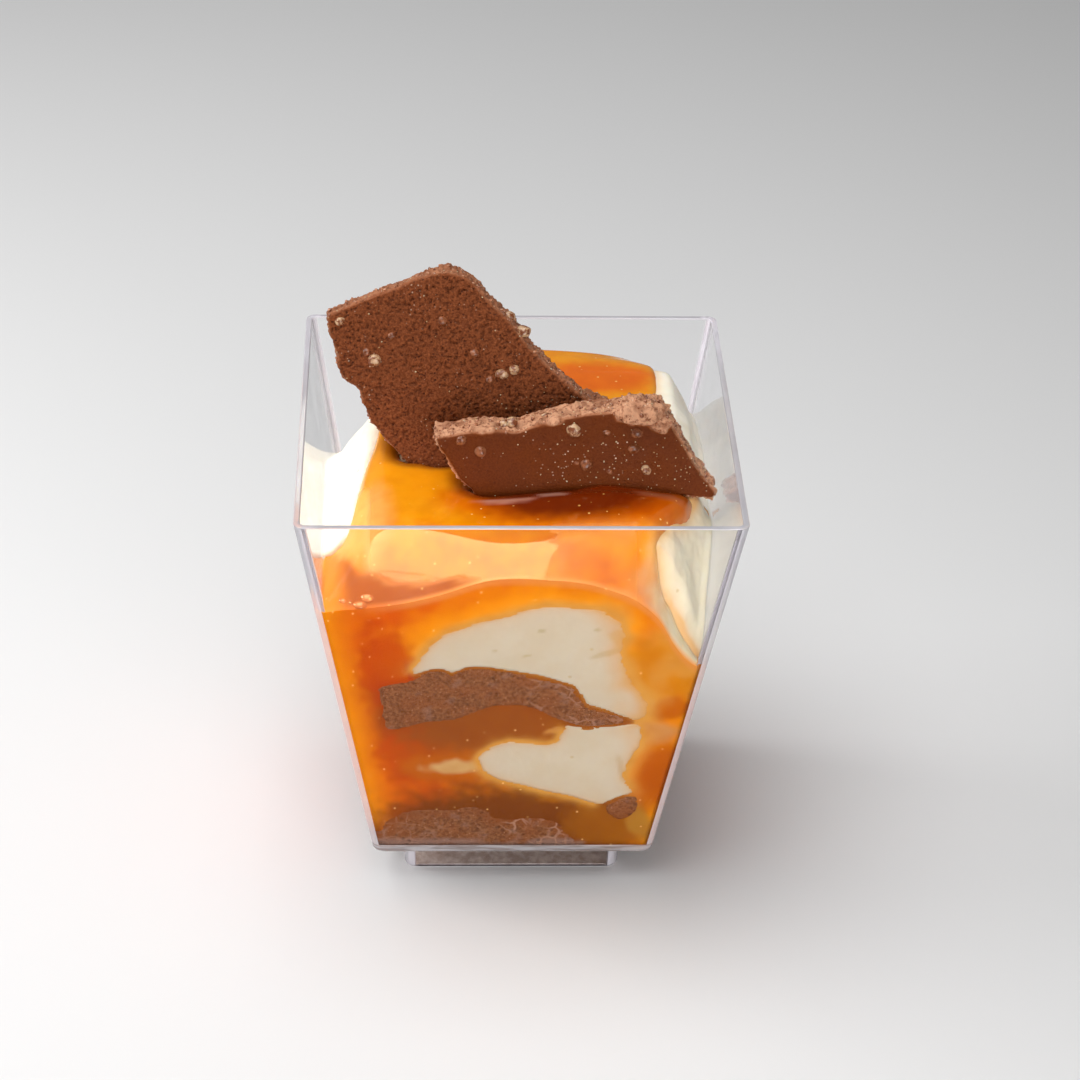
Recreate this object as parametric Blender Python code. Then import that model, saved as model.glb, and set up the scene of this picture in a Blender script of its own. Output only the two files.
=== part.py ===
"""A dessert in a clear tapered square cup: biscuit, cream and caramel under two broken chocolate slabs.

The cup stands on the origin with its front wall towards -Y. Sizes are in millimetres and become
metres as each mesh is made.
"""

import math

import bmesh
import bpy
from mathutils import Matrix, Vector
from mathutils.geometry import interpolate_bezier, intersect_point_line

MM = 0.001
GAP = 0.3

# The cup: its outside is 60 mm square at the rim.
HEIGHT = 66.4
RIM_HALF = 30.0
BASE_HALF = 19.9
FOOT_HEIGHT = 5.6
FOOT_HALF = 15.7
FOOT_WALL = 1.0
FOOT_CORNER = 2.0
FLOOR_THICK = 1.3
WALL_LOW = 1.1
WALL_RIM = 0.85
OUTER_CORNER = 1.4
INNER_CORNER = 0.8
FLOOR = FOOT_HEIGHT + FLOOR_THICK

# The surface blocks reach this far from the middle, past the walls.
SPREAD = 33.0
CELLS = 32

# Height of the filling's edge along each wall, as (place along the wall, height).
FRONT_EDGE = (
    (-26.5, 51.0), (-20.0, 51.7), (-15.0, 52.7), (-10.0, 54.6), (-5.0, 56.8), (-1.0, 57.3),
    (3.0, 57.0), (7.0, 56.8), (10.5, 55.9), (14.5, 54.1), (17.0, 51.5), (18.3, 50.0),
    (19.2, 47.6), (20.3, 45.1), (22.2, 42.5), (25.0, 41.0),
)
LEFT_EDGE = ((-26.0, 51.0), (12.0, 51.0), (18.0, 48.5), (24.0, 45.5))
RIGHT_EDGE = (
    (-25.0, 41.5), (-21.6, 43.5), (-16.3, 46.6), (-12.2, 50.5), (-9.0, 53.5), (-2.0, 52.8),
    (5.0, 53.1), (10.0, 54.0), (18.0, 53.0), (26.0, 51.5),
)
BACK_EDGE = (
    (-24.0, 45.5), (-19.0, 48.0), (-14.0, 52.0), (-8.0, 57.5), (-3.0, 60.6), (3.0, 61.8),
    (9.0, 61.2), (13.0, 60.6), (17.0, 59.5), (20.0, 57.8), (22.0, 56.0), (26.0, 51.5),
)

# Plan outlines: where caramel covers the top, and where the upper cream lies.
COVER = (
    (-40.0, -12.6), (-26.0, -12.6), (-24.2, -14.0), (-23.0, -11.0), (-22.5, -6.0), (-21.6, -1.0),
    (-20.2, 4.0), (-19.6, 9.0), (-17.0, 15.0), (-13.0, 21.0), (-10.0, 26.0), (-8.0, 40.0),
    (21.0, 40.0), (21.5, 27.0), (21.3, 20.0), (20.9, 14.0), (20.6, 8.0), (22.0, 1.0),
    (25.0, -4.0), (25.2, -9.0), (23.5, -13.5), (21.0, -17.0), (18.8, -20.5), (17.6, -23.4),
    (40.0, -23.4), (40.0, -40.0), (-40.0, -40.0),
)
MOUND = (
    (-40.0, -13.2), (-24.0, -13.8), (-19.0, -17.0), (-13.0, -20.0), (0.0, -21.0), (12.0, -21.0),
    (17.2, -22.4), (18.4, -23.5), (20.0, -23.8), (24.0, -23.0), (40.0, -22.7), (40.0, 40.0),
    (-40.0, 40.0),
)
FILM = 1.4

# Outlines on the front wall, as (x, height). Each layer runs from here to the back wall.
UPPER_CREAM = (
    (-14.5, 40.4), (-13.7, 42.6), (-12.2, 45.2), (-9.9, 47.7), (-5.8, 49.6), (-0.9, 51.3),
    (3.5, 52.8), (7.3, 52.5), (10.9, 52.0), (13.4, 50.2), (14.5, 47.4), (14.0, 44.3),
    (15.6, 39.2), (18.0, 35.2), (17.9, 32.6), (16.2, 31.4), (11.0, 31.6), (3.0, 36.0),
    (-6.0, 38.0), (-12.0, 38.4),
)
MIDDLE_BISCUIT = (
    (-19.2, 37.5), (-17.3, 38.4), (-14.8, 39.1), (-12.4, 40.6), (-10.3, 40.9), (-9.0, 40.0),
    (-6.8, 41.3), (-3.4, 41.1), (0.9, 40.1), (4.3, 39.2), (7.7, 37.6), (9.2, 34.6),
    (12.4, 33.1), (15.7, 31.4), (13.1, 30.8), (9.5, 30.5), (6.5, 31.4), (3.5, 33.3),
    (0.3, 34.5), (-2.9, 34.4), (-6.0, 33.1), (-8.9, 31.6), (-12.0, 31.4), (-16.8, 29.9),
    (-18.3, 30.6), (-18.5, 34.3),
)
LOWER_CREAM = (
    (-5.4, 24.6), (-3.8, 26.4), (-1.0, 27.8), (2.5, 27.4), (5.6, 27.6), (7.4, 32.0),
    (12.5, 32.4), (16.4, 31.6), (17.5, 29.4), (17.5, 27.0), (16.3, 24.6), (15.3, 20.6),
    (16.8, 17.8), (13.0, 15.2), (10.0, 16.0), (5.7, 17.5), (2.4, 18.5), (-0.8, 19.6),
    (-3.8, 21.0), (-4.9, 22.8),
)
LOWER_BISCUIT = (
    (-18.2, 11.8), (-15.0, 13.8), (-11.6, 14.4), (-8.6, 14.2), (-5.8, 15.0), (-3.0, 13.2),
    (-0.7, 12.4), (2.9, 12.9), (5.9, 11.9), (7.6, 9.6), (8.9, 4.0), (-18.0, 4.0),
)
CHIP = ((12.9, 15.0), (13.7, 15.8), (16.8, 17.0), (17.7, 15.4), (16.8, 13.2), (15.2, 12.2), (13.6, 12.9))
CHIP_DEPTH = 9.0

# Each slab: outline on its own face as (along, up), the face's corner in the cup, lean and turn.
BACK_SLAB = (
    (-17.2, 19.4), (-16.7, 16.5), (-15.3, 13.5), (-15.4, 11.6), (-14.1, 10.1), (-12.1, 9.0),
    (-11.9, 7.1), (-10.5, 4.4), (-8.1, 1.8), (-6.4, 0.0), (-4.6, -1.6), (2.0, -2.2), (9.0, -2.0),
    (15.5, -0.4), (20.5, 2.6), (23.6, 7.0), (23.2, 9.0), (21.0, 9.2), (18.6, 10.2), (15.6, 12.6),
    (12.8, 15.0), (10.8, 17.0), (8.4, 20.0), (4.8, 23.3), (2.9, 25.4), (1.3, 26.2), (-1.0, 26.6),
    (-3.2, 25.9), (-5.5, 25.0), (-7.4, 24.0), (-10.6, 22.7), (-14.9, 20.6),
)
BACK_SLAB_AT = (-10.0, -1.8, 60.5)
BACK_SLAB_LEAN = 16.0
BACK_SLAB_TURN = 6.0
FRONT_SLAB = (
    (-5.8, 8.8), (-5.2, 7.0), (-3.8, 5.0), (-2.3, 2.1), (-0.8, 0.8), (0.2, -1.0), (2.0, -1.6),
    (8.0, -0.6), (17.0, 0.0), (25.0, -0.2), (29.0, -0.4), (33.0, -0.7), (33.4, 0.4),
    (31.7, 2.6), (29.8, 5.4), (28.7, 7.6), (27.4, 9.6), (26.6, 11.3), (25.4, 13.3), (21.4, 13.3),
    (19.8, 12.8), (14.9, 12.3), (11.1, 11.5), (7.5, 10.4), (5.7, 9.6), (1.8, 9.9), (-1.6, 9.5),
    (-3.8, 9.0),
)
FRONT_SLAB_AT = (-5.9, -10.0, 59.6)
FRONT_SLAB_LEAN = 4.5
FRONT_SLAB_TURN = 0.0
SLAB_THICK = 5.0
SLAB_EDGE = 0.45

# The broken edges rise and fall by this much across the thickness, above where the caramel reaches.
CRAG = 0.35
CRAG_FROM = 3.5

# Crystals and nibs that stand out of a slab, as (along, up, depth behind the face, half width).
BACK_NIBS = (
    (-10.2, 13.5, 0.1, 0.75), (7.6, 12.5, 0.1, 0.7), (9.2, 13.2, 0.1, 0.65), (3.7, 15.2, 0.1, 0.6),
    (-15.1, 18.7, 0.1, 0.55), (-0.9, 19.5, 0.1, 0.6), (10.1, 18.2, 2.0, 0.75), (8.0, 20.1, 2.2, 0.6),
)
FRONT_NIBS = (
    (0.1, 9.6, 2.0, 0.75), (3.9, 9.8, 2.0, 0.55), (4.8, 9.9, 2.2, 0.7), (13.4, 9.8, 0.1, 0.8),
    (0.7, 6.6, 0.1, 0.7), (21.6, 7.1, 0.1, 0.65), (23.4, 3.9, 0.1, 0.55), (19.1, 12.3, 0.4, 0.7),
    (22.6, 12.6, 1.6, 1.5), (20.9, 12.7, 2.4, 1.1),
)


def inner_half(height):
    """Half the cup's inside width at a height."""
    up = (height - FOOT_HEIGHT) / (HEIGHT - FOOT_HEIGHT)
    return BASE_HALF + (RIM_HALF - BASE_HALF) * up - (WALL_LOW + (WALL_RIM - WALL_LOW) * up)


def along(edge, place):
    """Height of a wall's edge at a place, straight between its points."""
    if place <= edge[0][0]:
        return edge[0][1]
    for (a, low), (b, high) in zip(edge, edge[1:]):
        if place <= b:
            return low + (high - low) * (place - a) / (b - a)
    return edge[-1][1]


def limited(value):
    return min(max(value, 0.0), 1.0)


def swell(value):
    return math.sin(0.5 * math.pi * limited(value))


def shoulder(value):
    return math.sqrt(1.0 - (1.0 - limited(value)) ** 2)


def lowest(values, blend):
    """The least of the values, blended so that the change from one to the next is round."""
    least = min(values)
    return least - blend * math.log(sum(math.exp((least - value) / blend) for value in values))


def inside_by(outline, x, y):
    """Distance from the outline, positive inside it."""
    point = Vector((x, y, 0.0))
    inside = False
    nearest = 1e9
    for (ax, ay), (bx, by) in zip(outline, outline[1:] + outline[:1]):
        start = Vector((ax, ay, 0.0))
        end = Vector((bx, by, 0.0))
        closest, part = intersect_point_line(point, start, end)
        if part < 0.0:
            closest = start
        if part > 1.0:
            closest = end
        nearest = min(nearest, (point - closest).length)
        if (ay > y) != (by > y) and x < ax + (bx - ax) * (y - ay) / (by - ay):
            inside = not inside
    return nearest if inside else -nearest


def top_height(x, y):
    """Height of the filling's top, cream or caramel."""
    crest = math.exp(-(((x - 11.0) / 10.0) ** 2) - ((y + 9.0) / 9.0) ** 2)
    middle = 60.2 + 1.7 * crest + 2.2 * swell((y - 2.0) / 18.0)
    front = along(FRONT_EDGE, x)
    left = along(LEFT_EDGE, y)
    right = along(RIGHT_EDGE, y)
    back = along(BACK_EDGE, x)
    reach = 16.0 - 5.0 * limited((x - 14.0) / 5.0)
    rise = 63.5 - left
    sides = (
        middle,
        front + (63.5 - front) * swell((y + inner_half(front) - GAP) / reach),
        left + rise * swell((x + inner_half(left) - GAP) / (1.1 * rise)),
        right + (62.5 - right) * swell((inner_half(right) - GAP - x) / (0.5 * (62.5 - right))),
        back + (63.5 - back) * swell((inner_half(back) - GAP - y) / (4.0 + 0.6 * (63.5 - back))),
    )
    return lowest(sides, 0.6)


def caramel_height(x, y):
    """The top where caramel covers it, and a drop below the cream elsewhere."""
    return top_height(x, y) + 1.3 * min(0.0, max(inside_by(COVER, x, y), -4.0))


def cream_height(x, y, grow):
    """Top of the upper cream, which rounds down at the front edge of its mound."""
    film = FILM * swell(inside_by(COVER, x, y) / 3.0)
    edge = inside_by(MOUND, x, y) + 2.5 * grow
    return min(top_height(x, y) - film, 30.0 + 36.0 * shoulder(edge / 6.0)) + grow


def cream_underside(x, y, grow):
    wave = 0.5 * math.sin(0.3 * x) * math.cos(0.25 * y)
    return 44.0 - 4.0 * limited((x - 5.0) / 12.0) + wave - grow


def keep(name, bm, collection):
    """Turns the mesh being built into an object, smooth across its shallow edges."""
    bmesh.ops.recalc_face_normals(bm, faces=bm.faces[:])
    mesh = bpy.data.meshes.new(name)
    bm.to_mesh(mesh)
    bm.free()
    mesh.polygons.foreach_set("use_smooth", [True] * len(mesh.polygons))
    mesh.set_sharp_from_angle(angle=math.radians(40.0))
    made = bpy.data.objects.new(name, mesh)
    collection.objects.link(made)
    return made


def helper(name, bm):
    made = keep(name, bm, bpy.data.collections["cutters"])
    made.display_type = "WIRE"
    made.hide_render = True
    return made


def tapered_block(name, low, low_half, high, high_half, corner, round_base=False):
    """A square block, wider at one end, with its upright corners rounded."""
    bm = bmesh.new()
    bmesh.ops.create_cube(bm, size=2.0)
    for vert in bm.verts:
        half = low_half if vert.co.z < 0.0 else high_half
        height = low if vert.co.z < 0.0 else high
        vert.co = Vector((vert.co.x * half, vert.co.y * half, height)) * MM
    middle = 0.5 * (low + high) * MM
    rounded = []
    for edge in bm.edges:
        heights = [vert.co.z for vert in edge.verts]
        upright = min(heights) < middle < max(heights)
        if upright or (round_base and max(heights) < middle):
            rounded.append(edge)
    bmesh.ops.bevel(
        bm, geom=rounded, offset=corner * MM, segments=4, profile=0.5, affect="EDGES", material=-1
    )
    return helper(name, bm)


def surface_block(name, height_at, low):
    """A block wider than the cup, its top following height_at(x, y)."""
    bm = bmesh.new()
    bmesh.ops.create_grid(bm, x_segments=CELLS, y_segments=CELLS, size=SPREAD * MM)
    for vert in bm.verts:
        vert.co.z = height_at(vert.co.x / MM, vert.co.y / MM) * MM
    extruded = bmesh.ops.extrude_face_region(bm, geom=bm.faces[:])
    for vert in extruded["geom"]:
        if isinstance(vert, bmesh.types.BMVert):
            vert.co.z = low * MM
    return helper(name, bm)


def rounded_outline(points, steps):
    """A smooth closed line through the points."""
    count = len(points)
    flat = [Vector((x, z, 0.0)) for x, z in points]
    line = []
    for i in range(count):
        before, start, end, after = (flat[(i + k) % count] for k in (-1, 0, 1, 2))
        handles = (start + (end - before) / 6.0, end - (after - start) / 6.0)
        line += interpolate_bezier(start, handles[0], handles[1], end, steps + 1)[:-1]
    return [(point.x, point.y) for point in line]


def grown_outline(points, grow):
    """The outline moved outwards by an even distance."""
    area = sum(ax * bz - bx * az for (ax, az), (bx, bz) in zip(points, points[1:] + points[:1]))
    turn = 1.0 if area > 0.0 else -1.0
    moved = []
    for before, here, after in zip(points[-1:] + points[:-1], points, points[1:] + points[:1]):
        first = Vector((here[0] - before[0], here[1] - before[1])).normalized()
        second = Vector((after[0] - here[0], after[1] - here[1])).normalized()
        out = Vector((first.y + second.y, -first.x - second.x)) * turn
        reach = grow / max(0.5, math.sqrt(max(0.0, 0.5 * (1.0 + first.dot(second)))))
        out = out.normalized() * reach
        moved.append((here[0] + out.x, here[1] + out.y))
    return moved


def face_of(bm, points, place):
    return bm.faces.new([bm.verts.new(place(x, z)) for x, z in points])


def layer(name, outline, phase, grow, steps=2, front=-32.0, back=32.0):
    """A layer through the food: its front outline drawn back, drifting a little as it goes."""
    bm = bmesh.new()
    points = grown_outline(rounded_outline(outline, steps), grow)
    middle = sum(z for _, z in points) / len(points)
    flat = face_of(bm, points, lambda x, z: Vector((x, front, z)) * MM)
    stations = [front + 12.5 + (back - front - 12.5) * i / 6.0 for i in range(7)]
    ring = list(flat.verts)
    for depth in stations:
        made = bmesh.ops.extrude_face_region(bm, geom=[flat])["geom"]
        if depth > stations[0]:
            bmesh.ops.delete(bm, geom=[flat], context="FACES_ONLY")
        flat = next(part for part in made if isinstance(part, bmesh.types.BMFace))
        order = [min(range(len(ring)), key=lambda i: (ring[i].co - vert.co).length) for vert in flat.verts]
        away = (depth - stations[0]) / 30.0
        wide = 1.0 + 0.06 * math.sin(1.9 * away + phase) - 0.06 * math.sin(phase)
        tall = 1.0 + 0.10 * math.sin(2.6 * away + phase) - 0.10 * math.sin(phase)
        lift = 0.8 * (math.sin(2.1 * away + 2.0 * phase) - math.sin(2.0 * phase))
        moved = dict(zip(order, flat.verts))
        ring = [moved[i] for i in range(len(points))]
        for vert, (x, z) in zip(ring, points):
            vert.co = Vector((x * wide, depth, middle + (z - middle) * tall + lift)) * MM
    return helper(name, bm)


def slab_place(corner, lean, turn):
    """Where a slab's face stands: its own axes are along, behind the face, and up."""
    return (
        Matrix.Translation(Vector(corner) * MM)
        @ Matrix.Rotation(math.radians(-turn), 4, "Z")
        @ Matrix.Rotation(math.radians(-lean), 4, "X")
    )


def slab(name, outline, place, grow):
    """A flat broken piece that stands on its edge, leaning back."""
    bm = bmesh.new()
    points = grown_outline(list(outline), grow)
    face = face_of(bm, points, lambda u, v: Vector((u, -grow, v)) * MM)
    made = bmesh.ops.extrude_face_region(bm, geom=[face])["geom"]
    verts = [part for part in made if isinstance(part, bmesh.types.BMVert)]
    bmesh.ops.translate(bm, verts=verts, vec=Vector((0.0, SLAB_THICK + 2.0 * grow, 0.0)) * MM)
    if not grow:
        bmesh.ops.bevel(
            bm, geom=bm.edges[:], offset=SLAB_EDGE * MM, segments=1, profile=0.5, affect="EDGES", material=-1
        )
        crag(bm)
    bmesh.ops.transform(bm, matrix=place, verts=bm.verts[:])
    return helper(name, bm)


def crag(bm):
    """Roughens the broken edges of a slab between its two faces."""
    across = [edge for edge in bm.edges if edge.calc_length() > 0.7 * SLAB_THICK * MM and is_across(edge)]
    bmesh.ops.subdivide_edges(bm, edges=across, cuts=2)
    for vert in bm.verts:
        depth = vert.co.y / MM
        if 2.0 * SLAB_EDGE < depth < SLAB_THICK - 2.0 * SLAB_EDGE and vert.co.z > CRAG_FROM * MM:
            vert.co.z += CRAG * MM * math.sin(0.9 * vert.co.x / MM + 2.6 * depth)


def is_across(edge):
    start, end = (vert.co for vert in edge.verts)
    return abs(end.y - start.y) > 0.9 * (end - start).length


def with_nibs(target, nibs, place):
    """Joins the crystals and nibs to a slab with one union."""
    group = bpy.data.collections.new(f"{target.name} nibs")
    bpy.data.collections["cutters"].children.link(group)
    for number, (along_face, up, depth, half) in enumerate(nibs):
        bm = bmesh.new()
        bmesh.ops.create_icosphere(bm, subdivisions=1, radius=half * MM)
        bmesh.ops.rotate(bm, verts=bm.verts[:], matrix=Matrix.Rotation(1.3 * number, 3, (1.0, 0.4, 0.7)))
        bmesh.ops.translate(bm, verts=bm.verts[:], vec=Vector((along_face, depth, up)) * MM)
        bmesh.ops.transform(bm, matrix=place, verts=bm.verts[:])
        group.objects.link(helper(f"nib {number}", bm))
    modifier = target.modifiers.new("nibs", "BOOLEAN")
    modifier.operand_type = "COLLECTION"
    modifier.collection = group
    modifier.operation = "UNION"
    settle(target)
    for piece in list(group.objects):
        bpy.data.objects.remove(piece, do_unlink=True)
    bpy.data.collections.remove(group)
    return target


def cut(target, other, operation="DIFFERENCE", solver="EXACT"):
    modifier = target.modifiers.new(f"{operation.lower()} {other.name}", "BOOLEAN")
    modifier.object = other
    modifier.operation = operation
    modifier.solver = solver
    return target


def settle(made):
    """Applies the modifiers, and drops faces too small to see."""
    graph = bpy.context.evaluated_depsgraph_get()
    mesh = bpy.data.meshes.new_from_object(made.evaluated_get(graph))
    made.modifiers.clear()
    bm = bmesh.new()
    bm.from_mesh(mesh)
    bmesh.ops.triangulate(bm, faces=bm.faces[:])
    bmesh.ops.dissolve_degenerate(bm, dist=0.02 * MM, edges=bm.edges[:])
    bm.to_mesh(mesh)
    bm.free()
    made.data = mesh
    return made


def upper_cream(grow):
    """The mound under the slabs joined to the layer that shows at the front."""
    mound = surface_block(f"mound {grow}", lambda x, y: cream_height(x, y, grow), 0.0)
    under = surface_block(f"mound underside {grow}", lambda x, y: cream_underside(x, y, grow), -5.0)
    through = layer(f"upper cream layer {grow}", UPPER_CREAM, 0.4, grow)
    cut(mound, under)
    cut(mound, through, "UNION")
    return settle(mound)


def material(name, color, roughness, transmission=0.0):
    made = bpy.data.materials.new(name)
    made.use_nodes = True
    shader = made.node_tree.nodes["Principled BSDF"]
    shader.inputs["Base Color"].default_value = (*color, 1.0)
    shader.inputs["Roughness"].default_value = roughness
    shader.inputs["Metallic"].default_value = 0.0
    shader.inputs["Transmission Weight"].default_value = transmission
    made.diffuse_color = (*color, 1.0)
    return made


def node(name, shape, color, roughness, transmission=0.0):
    """One named piece of the dessert, in its own material."""
    mesh = shape.data.copy()
    mesh.name = name
    mesh.materials.clear()
    mesh.materials.append(material(name, color, roughness, transmission))
    mesh.polygons.foreach_set("use_smooth", [True] * len(mesh.polygons))
    mesh.set_sharp_from_angle(angle=math.radians(40.0))
    made = bpy.data.objects.new(name, mesh)
    bpy.data.collections["cheesecake cup"].objects.link(made)
    return made


def build_cup():
    outside = tapered_block(
        "cup outside", FOOT_HEIGHT, BASE_HALF, HEIGHT, RIM_HALF, OUTER_CORNER, round_base=True
    )
    skirt = tapered_block("foot", 0.0, FOOT_HALF - 0.2, FOOT_HEIGHT + 0.6, FOOT_HALF, FOOT_CORNER)
    recess_half = FOOT_HALF - FOOT_WALL
    recess = tapered_block(
        "foot recess", -2.0, recess_half - 0.2, FOOT_HEIGHT, recess_half, FOOT_CORNER - FOOT_WALL
    )
    above = HEIGHT + 4.0
    inside = tapered_block(
        "cup inside", FLOOR, inner_half(FLOOR), above, inner_half(above), INNER_CORNER
    )
    cut(outside, skirt, "UNION")
    cut(outside, recess)
    cut(outside, inside)
    node("cup", settle(outside), (0.93, 0.93, 0.95), 0.05, 1.0)


def build_filling():
    low = FLOOR + GAP
    high = HEIGHT - 1.0
    room = tapered_block(
        "room", low, inner_half(low) - GAP, high, inner_half(high) - GAP, INNER_CORNER - GAP
    )
    slabs = {}
    back_place = slab_place(BACK_SLAB_AT, BACK_SLAB_LEAN, BACK_SLAB_TURN)
    front_place = slab_place(FRONT_SLAB_AT, FRONT_SLAB_LEAN, FRONT_SLAB_TURN)
    for name, outline, place, nibs in (
        ("slab_back", BACK_SLAB, back_place, BACK_NIBS),
        ("slab_front", FRONT_SLAB, front_place, FRONT_NIBS),
    ):
        piece = slab(f"{name} shape", outline, place, 0.0)
        slabs[name] = slab(f"{name} pocket", outline, place, GAP)
        node(name, with_nibs(piece, nibs, place), (0.24, 0.09, 0.045), 0.6)

    pockets = {}
    for name, outline, phase, color, back in (
        ("biscuit_middle", MIDDLE_BISCUIT, 1.1, (0.30, 0.13, 0.06), 32.0),
        ("biscuit_base", LOWER_BISCUIT, 2.0, (0.30, 0.13, 0.06), 32.0),
        ("biscuit_chip", CHIP, 0.7, (0.28, 0.12, 0.07), CHIP_DEPTH - 20.0),
    ):
        piece = layer(f"{name} shape", outline, phase, 0.0, back=back)
        pockets[name] = layer(f"{name} pocket", outline, phase, GAP, back=back + GAP)
        node(name, settle(cut(piece, room, "INTERSECT")), color, 0.8)

    lower = layer("lower cream shape", LOWER_CREAM, 2.8, 0.0)
    pockets["cream_lower"] = layer("lower cream pocket", LOWER_CREAM, 2.8, GAP)
    cut(lower, room, "INTERSECT")
    cut(lower, pockets["biscuit_middle"])
    cut(lower, pockets["biscuit_chip"])
    upper = upper_cream(0.0)
    pockets["cream_upper"] = upper_cream(GAP)
    cut(lower, pockets["cream_upper"])
    node("cream_lower", settle(lower), (0.78, 0.68, 0.52), 0.5)

    cut(upper, room, "INTERSECT")
    cut(upper, pockets["biscuit_middle"])
    cut(upper, slabs["slab_front"])
    cut(upper, slabs["slab_back"])
    node("cream_upper", settle(upper), (0.80, 0.72, 0.58), 0.45)

    caramel = surface_block("caramel shape", caramel_height, 0.0)
    cut(caramel, room, "INTERSECT")
    for pocket in (*pockets.values(), *slabs.values()):
        cut(caramel, pocket, solver="MANIFOLD")
    node("caramel", settle(caramel), (0.60, 0.15, 0.01), 0.15)


def main():
    for old in list(bpy.data.objects):
        bpy.data.objects.remove(old, do_unlink=True)
    for name in ("cheesecake cup", "cutters"):
        made = bpy.data.collections.new(name)
        bpy.context.scene.collection.children.link(made)
    bpy.data.collections["cutters"].hide_render = True
    build_cup()
    build_filling()


main()
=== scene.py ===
"""Looks of a cheesecake cup: cream, biscuit and caramel in clear plastic, under two chocolate slabs.

Sizes are in millimetres and become metres as each mesh is made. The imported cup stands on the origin
with its front wall towards -Y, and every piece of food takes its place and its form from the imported
solids.
"""

from __future__ import annotations

import logging
import math
import random
from collections.abc import Callable, Iterable, Sequence
from dataclasses import dataclass, field
from enum import Enum
from typing import Any

import bmesh
import bpy
import numpy as np
from mathutils import Matrix, Vector, noise
from mathutils.bvhtree import BVHTree


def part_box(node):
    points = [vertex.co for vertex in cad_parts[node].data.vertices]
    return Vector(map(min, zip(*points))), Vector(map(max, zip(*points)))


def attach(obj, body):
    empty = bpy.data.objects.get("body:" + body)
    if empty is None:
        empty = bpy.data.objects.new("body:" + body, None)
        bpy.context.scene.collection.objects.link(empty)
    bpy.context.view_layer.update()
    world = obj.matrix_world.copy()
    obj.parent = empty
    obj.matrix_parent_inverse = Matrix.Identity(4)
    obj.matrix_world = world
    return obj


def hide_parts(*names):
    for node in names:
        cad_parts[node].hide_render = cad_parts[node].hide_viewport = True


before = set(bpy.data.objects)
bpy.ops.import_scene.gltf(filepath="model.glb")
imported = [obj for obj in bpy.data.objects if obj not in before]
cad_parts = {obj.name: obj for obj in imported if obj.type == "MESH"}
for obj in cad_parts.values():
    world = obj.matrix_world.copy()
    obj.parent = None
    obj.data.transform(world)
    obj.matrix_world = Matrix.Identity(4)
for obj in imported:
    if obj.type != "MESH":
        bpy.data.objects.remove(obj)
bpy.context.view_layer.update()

MM = 0.001
BODY = "root"
Color = tuple[float, float, float]
Span = tuple[float, float]
Socket = bpy.types.NodeSocket
log = logging.getLogger("cheesecake cup")


def srgb(red: int, green: int, blue: int) -> Color:
    """Turns a colour seen on screen, 0 to 255, into the linear colour a shader takes."""
    shares = (value / 255.0 for value in (red, green, blue))
    return tuple(v / 12.92 if v <= 0.04045 else ((v + 0.055) / 1.055) ** 2.4 for v in shares)


SOAKED_CREAM = srgb(216, 156, 70)


def ramp(value: float, low: float, high: float) -> float:
    """Rises smoothly from 0 at low to 1 at high."""
    share = min(max((value - low) / (high - low), 0.0), 1.0)
    return share * share * (3.0 - 2.0 * share)


def fall(value: float, low: float, high: float) -> float:
    """Falls smoothly from 1 at low to 0 at high."""
    return 1.0 - ramp(value, low, high)


def mixed(first: Sequence[float], second: Sequence[float], share: float) -> list[float]:
    """Blends a colour towards a second one by a share from 0 to 1."""
    return [a + (b - a) * share for a, b in zip(first, second)]


def wave(point: Vector, size: float, seed: float = 0.0) -> float:
    """Smooth noise from -1 to 1 with bumps of a size in millimetres, whose pattern the seed moves."""
    return noise.noise(Vector(point) / size + Vector((seed, -seed, 0.5 * seed)))


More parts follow.
